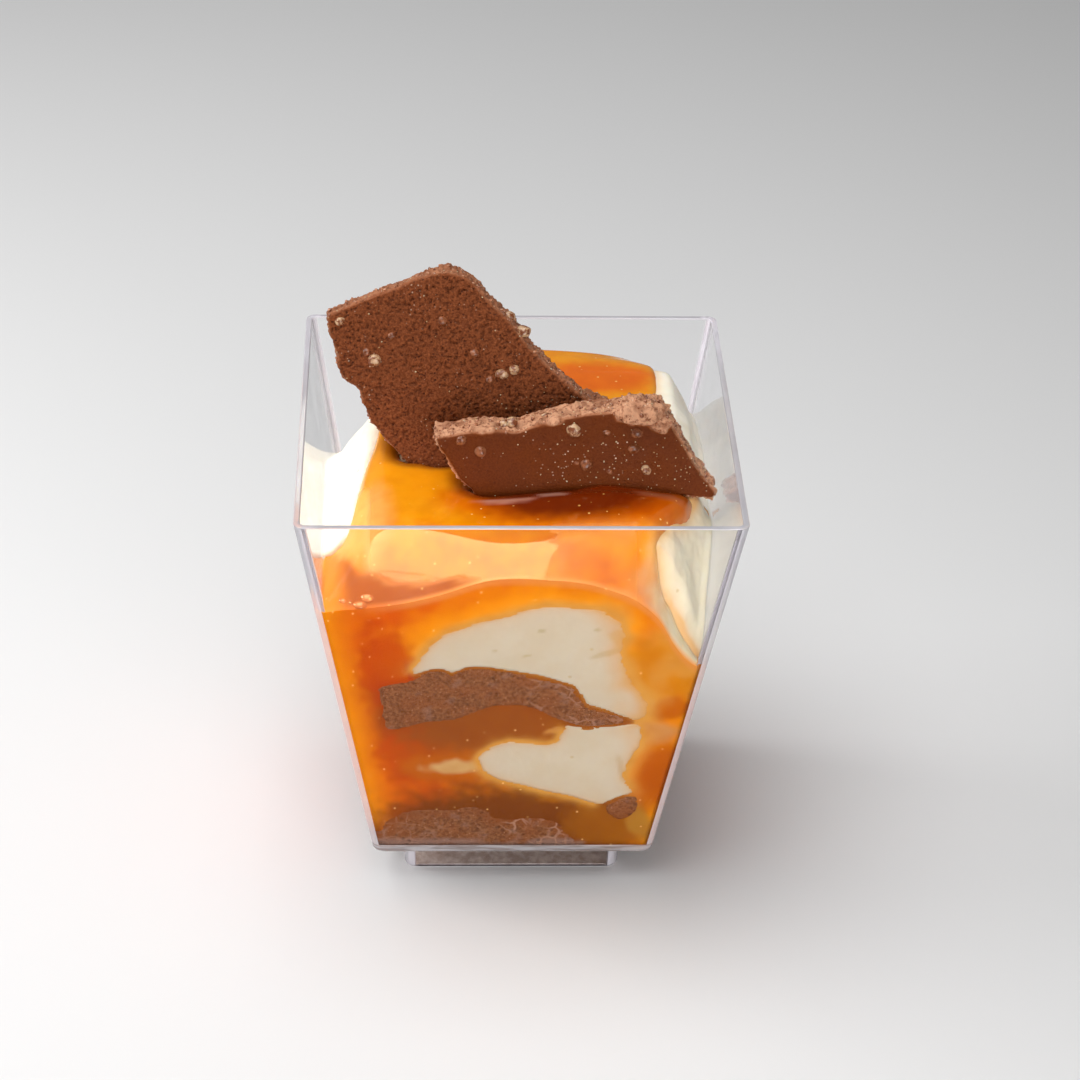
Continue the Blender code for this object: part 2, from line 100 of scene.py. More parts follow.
class Board:
    """One material's or group's node tree, filled in short calls."""

    NODES_IN_ROW = 9
    NODE_ROOM = (180, -220)

    def __init__(self, tree: bpy.types.NodeTree) -> None:
        """Starts on an existing tree."""
        self.tree = tree

    def add(self, kind: str, settings: dict[str, Any] | None = None, **values: Any) -> bpy.types.Node:
        """Adds a node.

        Args:
            kind: The node's type without its ShaderNode prefix.
            settings: Properties of the node, such as its operation.
            values: Input sockets by name, with _ for a space; a value, or a socket to link from.

        Returns:
            The new node.
        """
        made = self.tree.nodes.new(f"ShaderNode{kind}")
        for name, value in (settings or {}).items():
            setattr(made, name, value)
        for name, value in values.items():
            self.feed(made, name.replace("_", " "), value)
        row, column = divmod(len(self.tree.nodes), self.NODES_IN_ROW)
        made.location = (self.NODE_ROOM[0] * column, self.NODE_ROOM[1] * row)
        return made

    def feed(self, node: bpy.types.Node, name: str | int, value: Any) -> None:
        """Sets or links one input socket of a node.

        Args:
            node: The node.
            name: The socket's name or number.
            value: A value, a colour of three numbers, or a socket to link from.
        """
        socket = node.inputs[name]
        if isinstance(value, bpy.types.NodeSocket):
            self.tree.links.new(value, socket)
        elif isinstance(value, tuple) and len(value) == 3 and socket.type == "RGBA":
            socket.default_value = (*value, 1.0)
        else:
            socket.default_value = value

    def joined(self, node: bpy.types.Node, first_input: int, values: Sequence[Any], output: int = 0) -> Socket:
        """Feeds a node's sockets in order.

        Args:
            node: The node.
            first_input: Number of the first socket.
            values: What feeds it and the sockets after it.
            output: Number of the output that is wanted.

        Returns:
            The node's output.
        """
        for number, value in enumerate(values, start=first_input):
            self.feed(node, number, value)
        return node.outputs[output]

    def math(self, operation: str, first: Any, second: Any) -> Socket:
        """Adds a Math node and returns its result."""
        return self.joined(self.add("Math", {"operation": operation}), 0, (first, second))

    def scaled(self, value: Any, factor: Any) -> Socket:
        """Multiplies a value by a factor and returns the result."""
        return self.math("MULTIPLY", value, factor)

    def blend(self, share: Any, first: Any, second: Any, mode: str = "MIX") -> Socket:
        """Mixes two colours by a share.

        Args:
            share: From 0, all of the first, to 1.
            first: A colour or a socket.
            second: A colour or a socket.
            mode: How they are blended.

        Returns:
            The mixed colour.
        """
        made = self.add("Mix", {"data_type": "RGBA", "blend_type": mode})
        self.feed(made, 0, share)
        return self.joined(made, 6, (first, second), 2)

    def stretch(self, value: Any, low: float, high: float, to_low: float = 0.0, to_high: float = 1.0) -> Socket:
        """Maps a range of values smoothly onto another.

        Args:
            value: What is mapped.
            low: The value that becomes to_low.
            high: The value that becomes to_high.
            to_low: Start of the new range.
            to_high: End of the new range.

        Returns:
            The mapped value.
        """
        made = self.add("MapRange", {"interpolation_type": "SMOOTHSTEP"}, Value=value)
        return self.joined(made, 1, (low, high, to_low, to_high))

    def place(self) -> Socket:
        """Object coordinates, in metres."""
        return self.add("TexCoord").outputs["Object"]

    def noise(self, size: float, detail: float = 3.0, roughness: float = 0.5, place: Any = None) -> Socket:
        """Adds noise.

        Args:
            size: Width of its bumps in millimetres.
            detail: How many finer layers it has.
            roughness: How strong the finer layers are.
            place: Coordinates, or None for the object's own.

        Returns:
            The noise's value.
        """
        made = self.add("TexNoise", Scale=1.0 / (size * MM), Detail=detail, Roughness=roughness)
        self.feed(made, "Vector", self.place() if place is None else place)
        return made.outputs["Fac"]

    def cells(self, size: float, feature: str = "F1", place: Any = None) -> Socket:
        """Adds cells.

        Args:
            size: Their width in millimetres.
            feature: What is measured in them.
            place: Coordinates, or None for the object's own.

        Returns:
            The distance in each cell.
        """
        made = self.add("TexVoronoi", {"feature": feature}, Scale=1.0 / (size * MM))
        self.feed(made, "Vector", self.place() if place is None else place)
        return made.outputs["Distance"]

    def bump(self, height: Any, depth: float, strength: float = 1.0, onto: Any = None) -> Socket:
        """Adds relief.

        Args:
            height: The relief's height, from 0 to 1.
            depth: Its full depth in millimetres.
            strength: Share of it that shows.
            onto: Another normal that it lies on, or None.

        Returns:
            The normal.
        """
        made = self.add("Bump", Strength=strength, Distance=depth * MM, Height=height)
        if onto is not None:
            self.feed(made, "Normal", onto)
        return made.outputs[0]

    def painted(self, name: str) -> Socket:
        """The colour that the piece carries under this name."""
        return self.add("VertexColor", {"layer_name": name}).outputs["Color"]

    def masks(self, name: str) -> list[Socket]:
        """The three masks that the piece carries under this name."""
        return list(self.add("SeparateColor", Color=self.painted(name)).outputs)

    def let_light_through(self, glass: bpy.types.Node, shade: Color) -> Socket:
        """Lets lamplight pass straight through a clear shader.

        Args:
            glass: The clear shader's node.
            shade: What the light is multiplied by.

        Returns:
            The mixed shader.
        """
        through = self.add("BsdfTransparent", Color=shade)
        chosen = self.add("MixShader", Fac=self.add("LightPath").outputs["Is Shadow Ray"])
        return self.joined(chosen, 1, (glass.outputs[0], through.outputs[0]))

    def finish(self, surface: Socket, volume: Socket | None = None) -> None:
        """Links what was made to the material's output.

        Args:
            surface: The shader.
            volume: The volume's shader, or None.
        """
        output = self.add("OutputMaterial", Surface=surface)
        if volume is not None:
            self.feed(output, "Volume", volume)


@dataclass(frozen=True)
class Clouds:
    """Soft noise as a mask: its size in millimetres, and the levels where it starts and is full."""

    size: float
    detail: float
    roughness: float
    low: float
    high: float

    def on(self, board: Board, place: Any = None) -> Socket:
        """Adds the mask's nodes and returns it."""
        return board.stretch(board.noise(self.size, self.detail, self.roughness, place), self.low, self.high)


@dataclass(frozen=True)
class Specks:
    """Round specks as a mask: how far apart, and the shares of that where they end and are full."""

    apart: float
    end: float
    full: float

    def on(self, board: Board) -> Socket:
        """Adds the mask's nodes and returns it."""
        return board.stretch(board.cells(self.apart), self.end, self.full)


class SharedEffect:
    """A node group that more than one material uses, built once."""

    NAME = ""
    INPUTS: dict[str, tuple[str, Any]] = {}
    OUTPUTS: dict[str, str] = {}

    def effect(self, board: Board, given: bpy.types.Node) -> dict[str, Socket]:
        """Adds the effect's nodes.

        Args:
            board: The group's board.
            given: The node with the group's inputs.

        Returns:
            What feeds each of the group's outputs.
        """
        raise NotImplementedError

    def group(self) -> bpy.types.NodeTree:
        """Builds the group once.

        Returns:
            The group's tree.
        """
        tree = bpy.data.node_groups.get(self.NAME)
        if tree is not None:
            return tree
        tree = bpy.data.node_groups.new(self.NAME, "ShaderNodeTree")
        for name, (kind, start) in self.INPUTS.items():
            socket = tree.interface.new_socket(name, in_out="INPUT", socket_type=f"NodeSocket{kind}")
            socket.default_value = start
        for name, kind in self.OUTPUTS.items():
            tree.interface.new_socket(name, in_out="OUTPUT", socket_type=f"NodeSocket{kind}")
        board = Board(tree)
        given = tree.nodes.new("NodeGroupInput")
        result = tree.nodes.new("NodeGroupOutput")
        for name, value in self.effect(board, given).items():
            board.feed(result, name, value)
        return tree

    def on(self, board: Board, *values: Any) -> Sequence[Socket]:
        """Places the group in a material.

        Args:
            board: The material's board.
            values: A value or a socket for each of the group's inputs, in order.

        Returns:
            The group's outputs, by name.
        """
        node = board.add("Group", {"node_tree": self.group()})
        board.joined(node, 0, values)
        return node.outputs


class CrumbGrain(SharedEffect):
    """Broken, crumbly food: grains, pores and a coarse unevenness, each of its own size in millimetres."""

    NAME = "crumb grain"
    INPUTS = {"Grain Size": ("Float", 0.5), "Pore Size": ("Float", 0.9), "Unevenness Size": ("Float", 3.0)}
    OUTPUTS = {"Grain": "Float", "Pores": "Float", "Unevenness": "Float", "Height": "Float"}
    PORES_TOGETHER = 0.45
    PORE_DEPTH = 0.6

    def effect(self, board: Board, given: bpy.types.Node) -> dict[str, Socket]:
        """Adds the effect's nodes.

        Args:
            board: The group's board.
            given: The node with the group's inputs.

        Returns:
            What feeds each of the group's outputs.
        """
        place = board.place()
        scales = [board.math("DIVIDE", 1.0 / MM, given.outputs[name]) for name in self.INPUTS]
        per_grain, per_pore, per_patch = scales
        near = board.scaled(per_pore, self.PORES_TOGETHER)
        grain = board.add("TexNoise", Vector=place, Scale=per_grain, Detail=4.0, Roughness=0.65).outputs["Fac"]
        cells = board.add("TexVoronoi", Vector=place, Scale=per_pore).outputs["Distance"]
        chosen = board.add("TexNoise", Vector=place, Scale=near).outputs["Fac"]
        patches = board.add("TexNoise", Vector=place, Scale=per_patch, Detail=3.0).outputs["Fac"]
        pores = board.scaled(board.stretch(cells, 0.34, 0.14), board.stretch(chosen, 0.44, 0.54))
        return {
            "Grain": board.stretch(grain, 0.32, 0.68),
            "Pores": pores,
            "Unevenness": board.stretch(patches, 0.35, 0.65),
            "Height": board.math("SUBTRACT", grain, board.scaled(pores, self.PORE_DEPTH)),
        }


class SauceTone(SharedEffect):
    """Caramel's painted tint with darker clouds, fine yellow specks and a slow relief."""

    NAME = "sauce tone"
    INPUTS = {"Tint": ("Color", (0.6, 0.1, 0.0, 1.0))}
    OUTPUTS = {"Color": "Color", "Height": "Float"}
    CLOUDS = Clouds(3.2, 4.0, 0.55, 0.35, 0.7)
    CLOUDED = 0.5
    DEEPER = (0.86, 0.74, 0.55)
    SPECKS = Specks(1.5, 0.14, 0.08)
    SPECKLED = Clouds(2.2, 2.0, 0.5, 0.44, 0.56)
    SPECK_SHARE = 0.75
    SPECK = (0.95, 0.56, 0.16)
    RELIEF_SIZE = 2.4

    def effect(self, board: Board, given: bpy.types.Node) -> dict[str, Socket]:
        """Adds the effect's nodes.

        Args:
            board: The group's board.
            given: The node with the group's inputs.

        Returns:
            What feeds each of the group's outputs.
        """
        tint = given.outputs["Tint"]
        deeper = board.blend(1.0, tint, self.DEEPER, "MULTIPLY")
        clouded = board.blend(board.scaled(self.CLOUDS.on(board), self.CLOUDED), tint, deeper)
        speck = board.scaled(self.SPECKS.on(board), self.SPECKLED.on(board))
        return {
            "Color": board.blend(board.scaled(speck, self.SPECK_SHARE), clouded, self.SPECK),
            "Height": board.noise(self.RELIEF_SIZE, 2.0),
        }


@dataclass(frozen=True)
class Finish:
    """A named finish, whose kinds each add their own nodes."""

    name: str

    def material(self) -> bpy.types.Material:
        """Makes the finish.

        Returns:
            The material.
        """
        made = bpy.data.materials.new(self.name)
        made.use_nodes = True
        made.node_tree.nodes.clear()
        self.dress(Board(made.node_tree))
        return made

    def dress(self, board: Board) -> None:
        """Adds the finish's nodes to a material's board."""
        raise NotImplementedError


@dataclass(frozen=True)
class ClearPlastic(Finish):
    """Clear moulded polystyrene with the faintest flow ripple."""

    name: str = "clear plastic"
    roughness: float = 0.03
    refraction: float = 1.49
    ripple: float = 0.012
    ripple_size: float = 7.0
    shade: Color = (0.965, 0.96, 0.97)
    mirror: Color = (0.07, 0.07, 0.07)
    tone: Color = (1.0, 1.0, 1.0)
    cloud: Color = (1.0, 1.0, 1.0)
    clouds: Clouds = Clouds(1.4, 4.0, 0.6, 0.3, 0.7)
    inside: Color = (0.80, 0.77, 0.82)
    density: float = 120.0

    def dress(self, board: Board) -> None:
        """Adds the finish's nodes.

        Args:
            board: The material's board.
        """
        color = board.blend(self.clouds.on(board), self.tone, self.cloud)
        ripple = board.bump(board.noise(self.ripple_size, 2.0), self.ripple, 0.6)
        glass = board.add(
            "BsdfPrincipled", Base_Color=color, Roughness=self.roughness, IOR=self.refraction, Normal=ripple,
            Transmission_Weight=1.0, Metallic=0.0, Specular_Tint=self.mirror,
        )
        absorbing = board.add("VolumeAbsorption", Color=self.inside, Density=self.density)
        board.finish(board.let_light_through(glass, self.shade), absorbing.outputs[0])


@dataclass(frozen=True)
class MouldedEdge(Finish):
    """The cup's rim and rounded edges, which catch the light and look a little milky.

    Where lines is above 1, the darker unevenness is drawn out into level lines; on the cup's base band these
    are painted reflections.
    """

    name: str = "moulded edge"
    shade: Color = (0.80, 0.78, 0.83)
    darker: Color = (0.66, 0.58, 0.64)
    darkened: float = 0.3
    lines: float = 1.0
    clearness: float = 0.45
    roughness: float = 0.16
    refraction: float = 1.49
    milk: Clouds = Clouds(5.0, 2.0, 0.5, 0.35, 0.65)
    through: Color = (0.9, 0.88, 0.9)

    def dress(self, board: Board) -> None:
        """Adds the finish's nodes.

        Args:
            board: The material's board.
        """
        drawn = board.add("VectorMath", {"operation": "MULTIPLY"})
        milk = self.milk.on(board, board.joined(drawn, 0, (board.place(), (1.0, 1.0, self.lines))))
        color = board.blend(board.scaled(milk, self.darkened), self.shade, self.darker)
        glass = board.add(
            "BsdfPrincipled", Base_Color=color, Roughness=self.roughness, IOR=self.refraction,
            Transmission_Weight=self.clearness,
        )
        board.finish(board.let_light_through(glass, self.through))


@dataclass(frozen=True)
class CaramelSauce(Finish):
    """Thick glossy sauce with an open surface, duller where the piece's mask is high."""

    name: str = "caramel sauce"
    tint: str = "tint"
    dull: str = "dull"
    roughness: float = 0.07
    dulled: float = 0.93
    relief: float = 0.04
    glow: Color = (1.0, 0.35, 0.08)
    glow_depth: float = 1.2
    mirror: Color = (1.0, 0.90, 0.42)

    def dress(self, board: Board) -> None:
        """Adds the finish's nodes.

        Args:
            board: The material's board.
        """
        tone = SauceTone().on(board, board.painted(self.tint))
        relief = board.bump(tone["Height"], self.relief, 0.5)
        dull = board.masks(self.dull)[0]
        rough = board.math("ADD", board.scaled(dull, self.dulled), self.roughness)
        shader = board.add(
            "BsdfPrincipled", Base_Color=tone["Color"], Roughness=rough, IOR=1.62, Normal=relief,
            Subsurface_Weight=0.15, Subsurface_Radius=self.glow, Subsurface_Scale=self.glow_depth * MM,
            Specular_IOR_Level=1.0, Specular_Tint=self.mirror, Coat_Weight=0.1, Coat_Roughness=0.03,
        )
        board.finish(shader.outputs[0])


@dataclass(frozen=True)
class PressedCaramel(Finish):
    """The same sauce pressed flat against the clear wall, which takes away its own gloss."""

    name: str = "caramel against the wall"
    tint: str = "tint"

    def dress(self, board: Board) -> None:
        """Adds the finish's nodes.

        Args:
            board: The material's board.
        """
        tone = SauceTone().on(board, board.painted(self.tint))
        shader = board.add(
            "BsdfPrincipled", Base_Color=tone["Color"], Roughness=0.6, IOR=1.47, Specular_IOR_Level=0.0
        )
        board.finish(shader.outputs[0])


@dataclass(frozen=True)
class CheesecakeCream(Finish):
    """Soft set cream, a little yellower in places, with folds and small holes."""

    name: str = "cheesecake cream"
    base: Color = srgb(248, 240, 222)
    warm: Color = (0.95, 0.90, 0.82)
    hole: Color = srgb(196, 170, 118)
    tint: str = "stain"
    patches: Clouds = Clouds(5.0, 4.0, 0.6, 0.35, 0.70)
    patched: float = 0.6
    holes: Specks = Specks(4.5, 0.075, 0.045)
    fine_size: float = 0.9
    fine_relief: float = 0.05
    fold_size: float = 3.5
    fold_relief: float = 0.3
    glow: Color = (1.0, 0.75, 0.45)
    glow_depth: float = 1.2

    def dress(self, board: Board) -> None:
        """Adds the finish's nodes.

        Args:
            board: The material's board.
        """
        stain = board.painted(self.tint)
        toned = board.blend(1.0, stain, self.warm, "MULTIPLY")
        color = board.blend(board.scaled(self.patches.on(board), self.patched), stain, toned)
        holes = self.holes.on(board)
        # Painted shade: darker in the small holes.
        color = board.blend(board.scaled(holes, 0.5), color, self.hole)
        fine = board.math("SUBTRACT", board.noise(self.fine_size, 3.0, 0.55), holes)
        folds = board.bump(board.noise(self.fold_size, 2.0), self.fold_relief, 0.5)
        relief = board.bump(fine, self.fine_relief, 0.5, folds)
        shader = board.add(
            "BsdfPrincipled", Base_Color=color, Roughness=0.42, IOR=1.45, Normal=relief,
            Specular_IOR_Level=0.25, Subsurface_Weight=0.35, Subsurface_Radius=self.glow,
            Subsurface_Scale=self.glow_depth * MM,
        )
        board.finish(shader.outputs[0])


@dataclass(frozen=True)
class SoakedBiscuit(Finish):
    """Biscuit crumb wet with sauce, with paler veins where it presses on the cup."""

    name: str = "soaked biscuit"
    dark: Color = srgb(110, 62, 30)
    light: Color = srgb(152, 98, 60)
    patch: Color = srgb(150, 82, 38)
    soaked: Color = srgb(138, 74, 28)
    pocket: Color = srgb(152, 118, 102)
    vein: Color = srgb(180, 134, 108)
    speck: Color = srgb(194, 142, 106)
    pore: Color = srgb(70, 36, 18)
    mask: str = "stain"
    grain_sizes: tuple[float, float, float] = (0.5, 1.1, 2.6)
    bend_size: float = 1.6
    bend: float = 0.0011
    vein_apart: float = 2.1
    vein_edge: Span = (0.10, 0.03)
    specks: Specks = Specks(0.7, 0.2, 0.1)
    relief: float = 0.25

    def dress(self, board: Board) -> None:
        """Adds the finish's nodes.

        Args:
            board: The material's board.
        """
        veined, pocketed, soaked = board.masks(self.mask)
        grain = CrumbGrain().on(board, *self.grain_sizes)
        color = board.blend(grain["Grain"], self.dark, self.light)
        color = board.blend(board.scaled(grain["Unevenness"], 0.35), color, self.patch)
        color = board.blend(soaked, color, self.soaked)
        color = board.blend(pocketed, color, self.pocket)
        place = board.place()
        warp = board.add("TexNoise", Vector=place, Scale=1.0 / (self.bend_size * MM), Detail=2.0)
        bent = board.add("Mix", {"data_type": "VECTOR"})
        board.feed(bent, 0, self.bend)
        bent_place = board.joined(bent, 4, (place, warp.outputs["Color"]), 1)
        edges = board.cells(self.vein_apart, "DISTANCE_TO_EDGE", bent_place)
        color = board.blend(board.scaled(board.stretch(edges, *self.vein_edge), veined), color, self.vein)
        color = board.blend(board.scaled(self.specks.on(board), 0.5), color, self.speck)
        # Painted shade: darker in the pores.
        color = board.blend(board.scaled(grain["Pores"], 0.35), color, self.pore)
        relief = board.bump(grain["Height"], self.relief, 0.6)
        shader = board.add(
            "BsdfPrincipled", Base_Color=color, Roughness=0.55, IOR=1.45, Normal=relief, Specular_IOR_Level=0.1
        )
        board.finish(shader.outputs[0])


@dataclass(frozen=True)
class MilkChocolate(Finish):
    """Dull milk chocolate: a moulded face, paler grainy breaks where the piece's mask is high, painted light by
    the breaks and painted shade in pits and pores.
    """

    face: Color
    broken: Color
    rim: Color
    grain: float
    dusted: float
    deeper: Color = srgb(88, 38, 14)
    pit: Color = srgb(62, 26, 12)
    patch: Color = srgb(132, 80, 54)
    sugar: Color = srgb(226, 198, 172)
    mask: str = "broken"
    grain_sizes: tuple[float, float, float] = (0.28, 0.6, 4.0)
    rim_shares: tuple[float, float, float, float] = (0.03, 0.5, 0.0, 0.85)
    coarse: Clouds = Clouds(0.75, 3.0, 0.7, 0.30, 0.56)
    patches: Clouds = Clouds(2.6, 2.0, 0.5, 0.52, 0.66)
    specks: Specks = Specks(0.75, 0.19, 0.10)
    drifts: Clouds = Clouds(5.5, 3.0, 0.6, 0.48, 0.64)
    relief: float = 0.25

    def dress(self, board: Board) -> None:
        """Adds the finish's nodes.

        Args:
            board: The material's board.
        """
        broken, pitted, edged = board.masks(self.mask)
        grain = CrumbGrain().on(board, *self.grain_sizes)
        face = board.blend(board.scaled(grain["Unevenness"], 0.4), self.face, self.deeper)
        face = board.blend(board.scaled(grain["Grain"], self.grain), face, self.rim)
        # Painted shade: darker in the pores.
        face = board.blend(board.scaled(grain["Pores"], self.grain), face, self.pit)
        # Painted light: towards the rim colour next to the breaks, where the chocolate is thin.
        face = board.blend(board.stretch(edged, *self.rim_shares), face, self.rim)
        rough = board.blend(self.coarse.on(board), self.patch, self.broken)
        rough = board.blend(board.scaled(self.patches.on(board), 0.6), rough, self.patch)
        # Painted shade: darker in the pores of the breaks.
        rough = board.blend(board.scaled(grain["Pores"], 0.4), rough, self.pit)
        color = board.blend(broken, face, rough)
        # Painted shade: darker in the pits.
        color = board.blend(board.scaled(pitted, 0.45), color, self.pit)
        dust = board.scaled(board.scaled(self.specks.on(board), self.drifts.on(board)), self.dusted)
        color = board.blend(dust, color, self.sugar)
        relief = board.bump(grain["Height"], self.relief, 0.3 + 0.5 * self.grain)
        shader = board.add(
            "BsdfPrincipled", Base_Color=color, Roughness=0.45, IOR=1.45, Normal=relief, Specular_IOR_Level=0.12
        )
        board.finish(shader.outputs[0])


@dataclass(frozen=True)
class CloudyGrain(Finish):
    """Cloudy sugar crystals, nibs under a film of chocolate, or crumbs."""

    color: Color
    cloud: Color
    clouds: Clouds = Clouds(0.8, 3.0, 0.6, 0.42, 0.58)
    glow: Color = (1.0, 0.8, 0.6)
    glow_depth: float = 0.6

    def dress(self, board: Board) -> None:
        """Adds the finish's nodes.

        Args:
            board: The material's board.
        """
        color = board.blend(self.clouds.on(board), self.color, self.cloud)
        shader = board.add(
            "BsdfPrincipled", Base_Color=color, Roughness=0.22, IOR=1.5, Subsurface_Weight=0.5,
            Subsurface_Radius=self.glow, Subsurface_Scale=self.glow_depth * MM,
        )
        board.finish(shader.outputs[0])


@dataclass(frozen=True)
class StudioFloor(Finish):
    """A plain pale sweep."""

    name: str = "studio floor"
    color: Color = (0.80, 0.80, 0.80)

    def dress(self, board: Board) -> None:
        """Adds the finish's nodes to a material's board."""
        board.finish(board.add("BsdfPrincipled", Base_Color=self.color, Roughness=0.7).outputs[0])


@dataclass(frozen=True)
class CupSizes:
    """The cup's sizes in millimetres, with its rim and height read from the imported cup."""

    rim_half: float
    height: float
    base_half: float = 19.9
    foot_height: float = 5.6
    foot_half: float = 15.7
    foot_wall: float = 1.0
    foot_corner: float = 2.0
    foot_slant: float = 0.2
    floor_thick: float = 1.3
    wall_low: float = 1.1
    wall_rim: float = 0.85
    outer_corner: float = 1.4
    inner_corner: float = 0.8
    edge: float = 0.16

    @classmethod
    def packed(cls) -> CupSizes:
        """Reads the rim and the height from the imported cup."""
        _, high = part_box("cup")
        return cls(rim_half=high.x / MM, height=high.z / MM)

    @property
    def floor(self) -> float:
        """Height of the cup's floor."""
        return self.foot_height + self.floor_thick

    def up(self, height: float) -> float:
        """Share of the way from the foot's top to the rim, at a height."""
        return (height - self.foot_height) / (self.height - self.foot_height)

    def outer_half(self, height: float) -> float:
        """Half the cup's outside width at a height."""
        return self.base_half + (self.rim_half - self.base_half) * self.up(height)

    def inner_half(self, height: float) -> float:
        """Half the cup's inside width at a height."""
        return self.outer_half(height) - (self.wall_low + (self.wall_rim - self.wall_low) * self.up(height))

    def against_corner(self, x: float, y: float, half: float) -> Span:
        """Moves a point of a square's edge onto the round of its corner.

        Args:
            x: Place across.
            y: Place in depth.
            half: Half the square's width.

        Returns:
            The point, on or inside the rounded square.
        """
        middle = half - self.inner_corner
        over = Vector((abs(x) - middle, abs(y) - middle))
        if min(over) <= 0.0 or over.length <= self.inner_corner:
            return x, y
        over = over.normalized() * self.inner_corner
        return math.copysign(middle + over.x, x), math.copysign(middle + over.y, y)


def placed(name: str, data: bpy.types.ID) -> bpy.types.Object:
    """Puts an object of some data in the scene.

    Args:
        name: The object's name.
        data: Its mesh, light or camera.

    Returns:
        The object.
    """
    made = bpy.data.objects.new(name, data)
    bpy.context.scene.collection.objects.link(made)
    return made


def mesh_of(name: str, bm: bmesh.types.BMesh) -> bpy.types.Mesh:
    """Turns the mesh being built into a finished one.

    Args:
        name: Name of the new mesh.
        bm: The mesh in metres, which is freed.

    Returns:
        The mesh.
    """
    mesh = bpy.data.meshes.new(name)
    bm.to_mesh(mesh)
    bm.free()
    return mesh


def show(mesh: bpy.types.Mesh, sharp_above: float = 40.0) -> bpy.types.Object:
    """Shades a mesh smooth and makes it a piece that rides with the cup.

    Args:
        mesh: The mesh, whose name the piece takes.
        sharp_above: Edges turn sharp past this many degrees.

    Returns:
        The piece.
    """
    mesh.polygons.foreach_set("use_smooth", [True] * len(mesh.polygons))
    mesh.set_sharp_from_angle(angle=math.radians(sharp_above))
    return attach(placed(mesh.name, mesh), BODY)


def stands_for(
    piece: bpy.types.Object, finishes: Sequence[bpy.types.Material], slot: str, *nodes: str
) -> bpy.types.Object:
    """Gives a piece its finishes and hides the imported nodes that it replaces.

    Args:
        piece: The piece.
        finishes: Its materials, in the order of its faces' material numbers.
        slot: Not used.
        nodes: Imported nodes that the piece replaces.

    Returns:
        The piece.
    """
    numbers = [face.material_index for face in piece.data.polygons]
    piece.data.materials.clear()
    for finish in finishes:
        piece.data.materials.append(finish)
    piece.data.polygons.foreach_set("material_index", numbers)
    if nodes:
        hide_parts(*nodes)
    log.info("%s: %d faces", piece.name, len(piece.data.polygons))
    return piece


def merged_copy(node: str) -> bmesh.types.BMesh:
    """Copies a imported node's mesh with its loose triangles joined.

    Args:
        node: The node's name.

    Returns:
        The copy.
    """
    bm = bmesh.new()
    bm.from_mesh(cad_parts[node].data)
    bmesh.ops.remove_doubles(bm, verts=bm.verts[:], dist=0.002 * MM)
    return bm


def tree_of(node: str) -> BVHTree:
    """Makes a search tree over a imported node's faces.

    Args:
        node: The node's name.

    Returns:
        The tree.
    """
    bm = merged_copy(node)
    tree = BVHTree.FromBMesh(bm)
    bm.free()
    return tree


def remeshed(name: str, node: str, voxel: float) -> bpy.types.Mesh:
    """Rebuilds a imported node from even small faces.

    Args:
        name: Name of the new mesh.
        node: The node's name.
        voxel: Face size in millimetres.

    Returns:
        The new mesh.
    """
    helper = placed(name, mesh_of(name, merged_copy(node)))
    modifier = helper.modifiers.new("even faces", "REMESH")
    modifier.mode = "VOXEL"
    modifier.voxel_size = voxel * MM
    graph = bpy.context.evaluated_depsgraph_get()
    made = bpy.data.meshes.new_from_object(helper.evaluated_get(graph))
    rough = helper.data
    bpy.data.objects.remove(helper, do_unlink=True)
    bpy.data.meshes.remove(rough)
    made.name = name
    return made


def rows_of(mesh: bpy.types.Mesh, what: str) -> np.ndarray:
    """Reads three numbers for each point of a mesh.

    Args:
        mesh: The mesh.
        what: Their name there, such as co or normal.

    Returns:
        One row for each point.
    """
    found = np.empty(len(mesh.vertices) * 3, np.float32)
    mesh.vertices.foreach_get(what, found)
    return found.reshape(-1, 3).astype(float)


def points_of(mesh: bpy.types.Mesh) -> np.ndarray:
    """A mesh's points in millimetres."""
    return rows_of(mesh, "co") / MM


def move_points(mesh: bpy.types.Mesh, points: np.ndarray) -> None:
    """Sets a mesh's points from millimetres."""
    mesh.vertices.foreach_set("co", (points * MM).astype(np.float32).ravel())
    mesh.update()


def paint(mesh: bpy.types.Mesh, name: str, colors: Sequence[Sequence[float]] | np.ndarray) -> None:
    """Stores one linear colour for each point.

    Args:
        mesh: The mesh.
        name: Name of the colour attribute.
        colors: Rows of red, green and blue.
    """
    layer = mesh.color_attributes.new(name=name, type="FLOAT_COLOR", domain="POINT")
    full = np.ones((len(colors), 4), np.float32)
    full[:, :3] = colors
    layer.data.foreach_set("color", full.ravel())


def spread(mesh: bpy.types.Mesh, values: np.ndarray, rounds: int, kept: float = 0.4) -> np.ndarray:
    """Evens out a value along a mesh's edges.

    Args:
        mesh: The mesh.
        values: One value for each point.
        rounds: How many edges far the value runs.
        kept: Share of its own value that a point keeps in each round.

    Returns:
        The evened values.
    """
    ends = np.empty(len(mesh.edges) * 2, np.int32)
    mesh.edges.foreach_get("vertices", ends)
    first, second = ends.reshape(-1, 2).T
    size = len(values)
    count = np.maximum(np.bincount(ends, minlength=size), 1)
    for _ in range(rounds):
        total = np.bincount(first, values[second], size) + np.bincount(second, values[first], size)
        values = kept * values + (1.0 - kept) * total / count
    return values


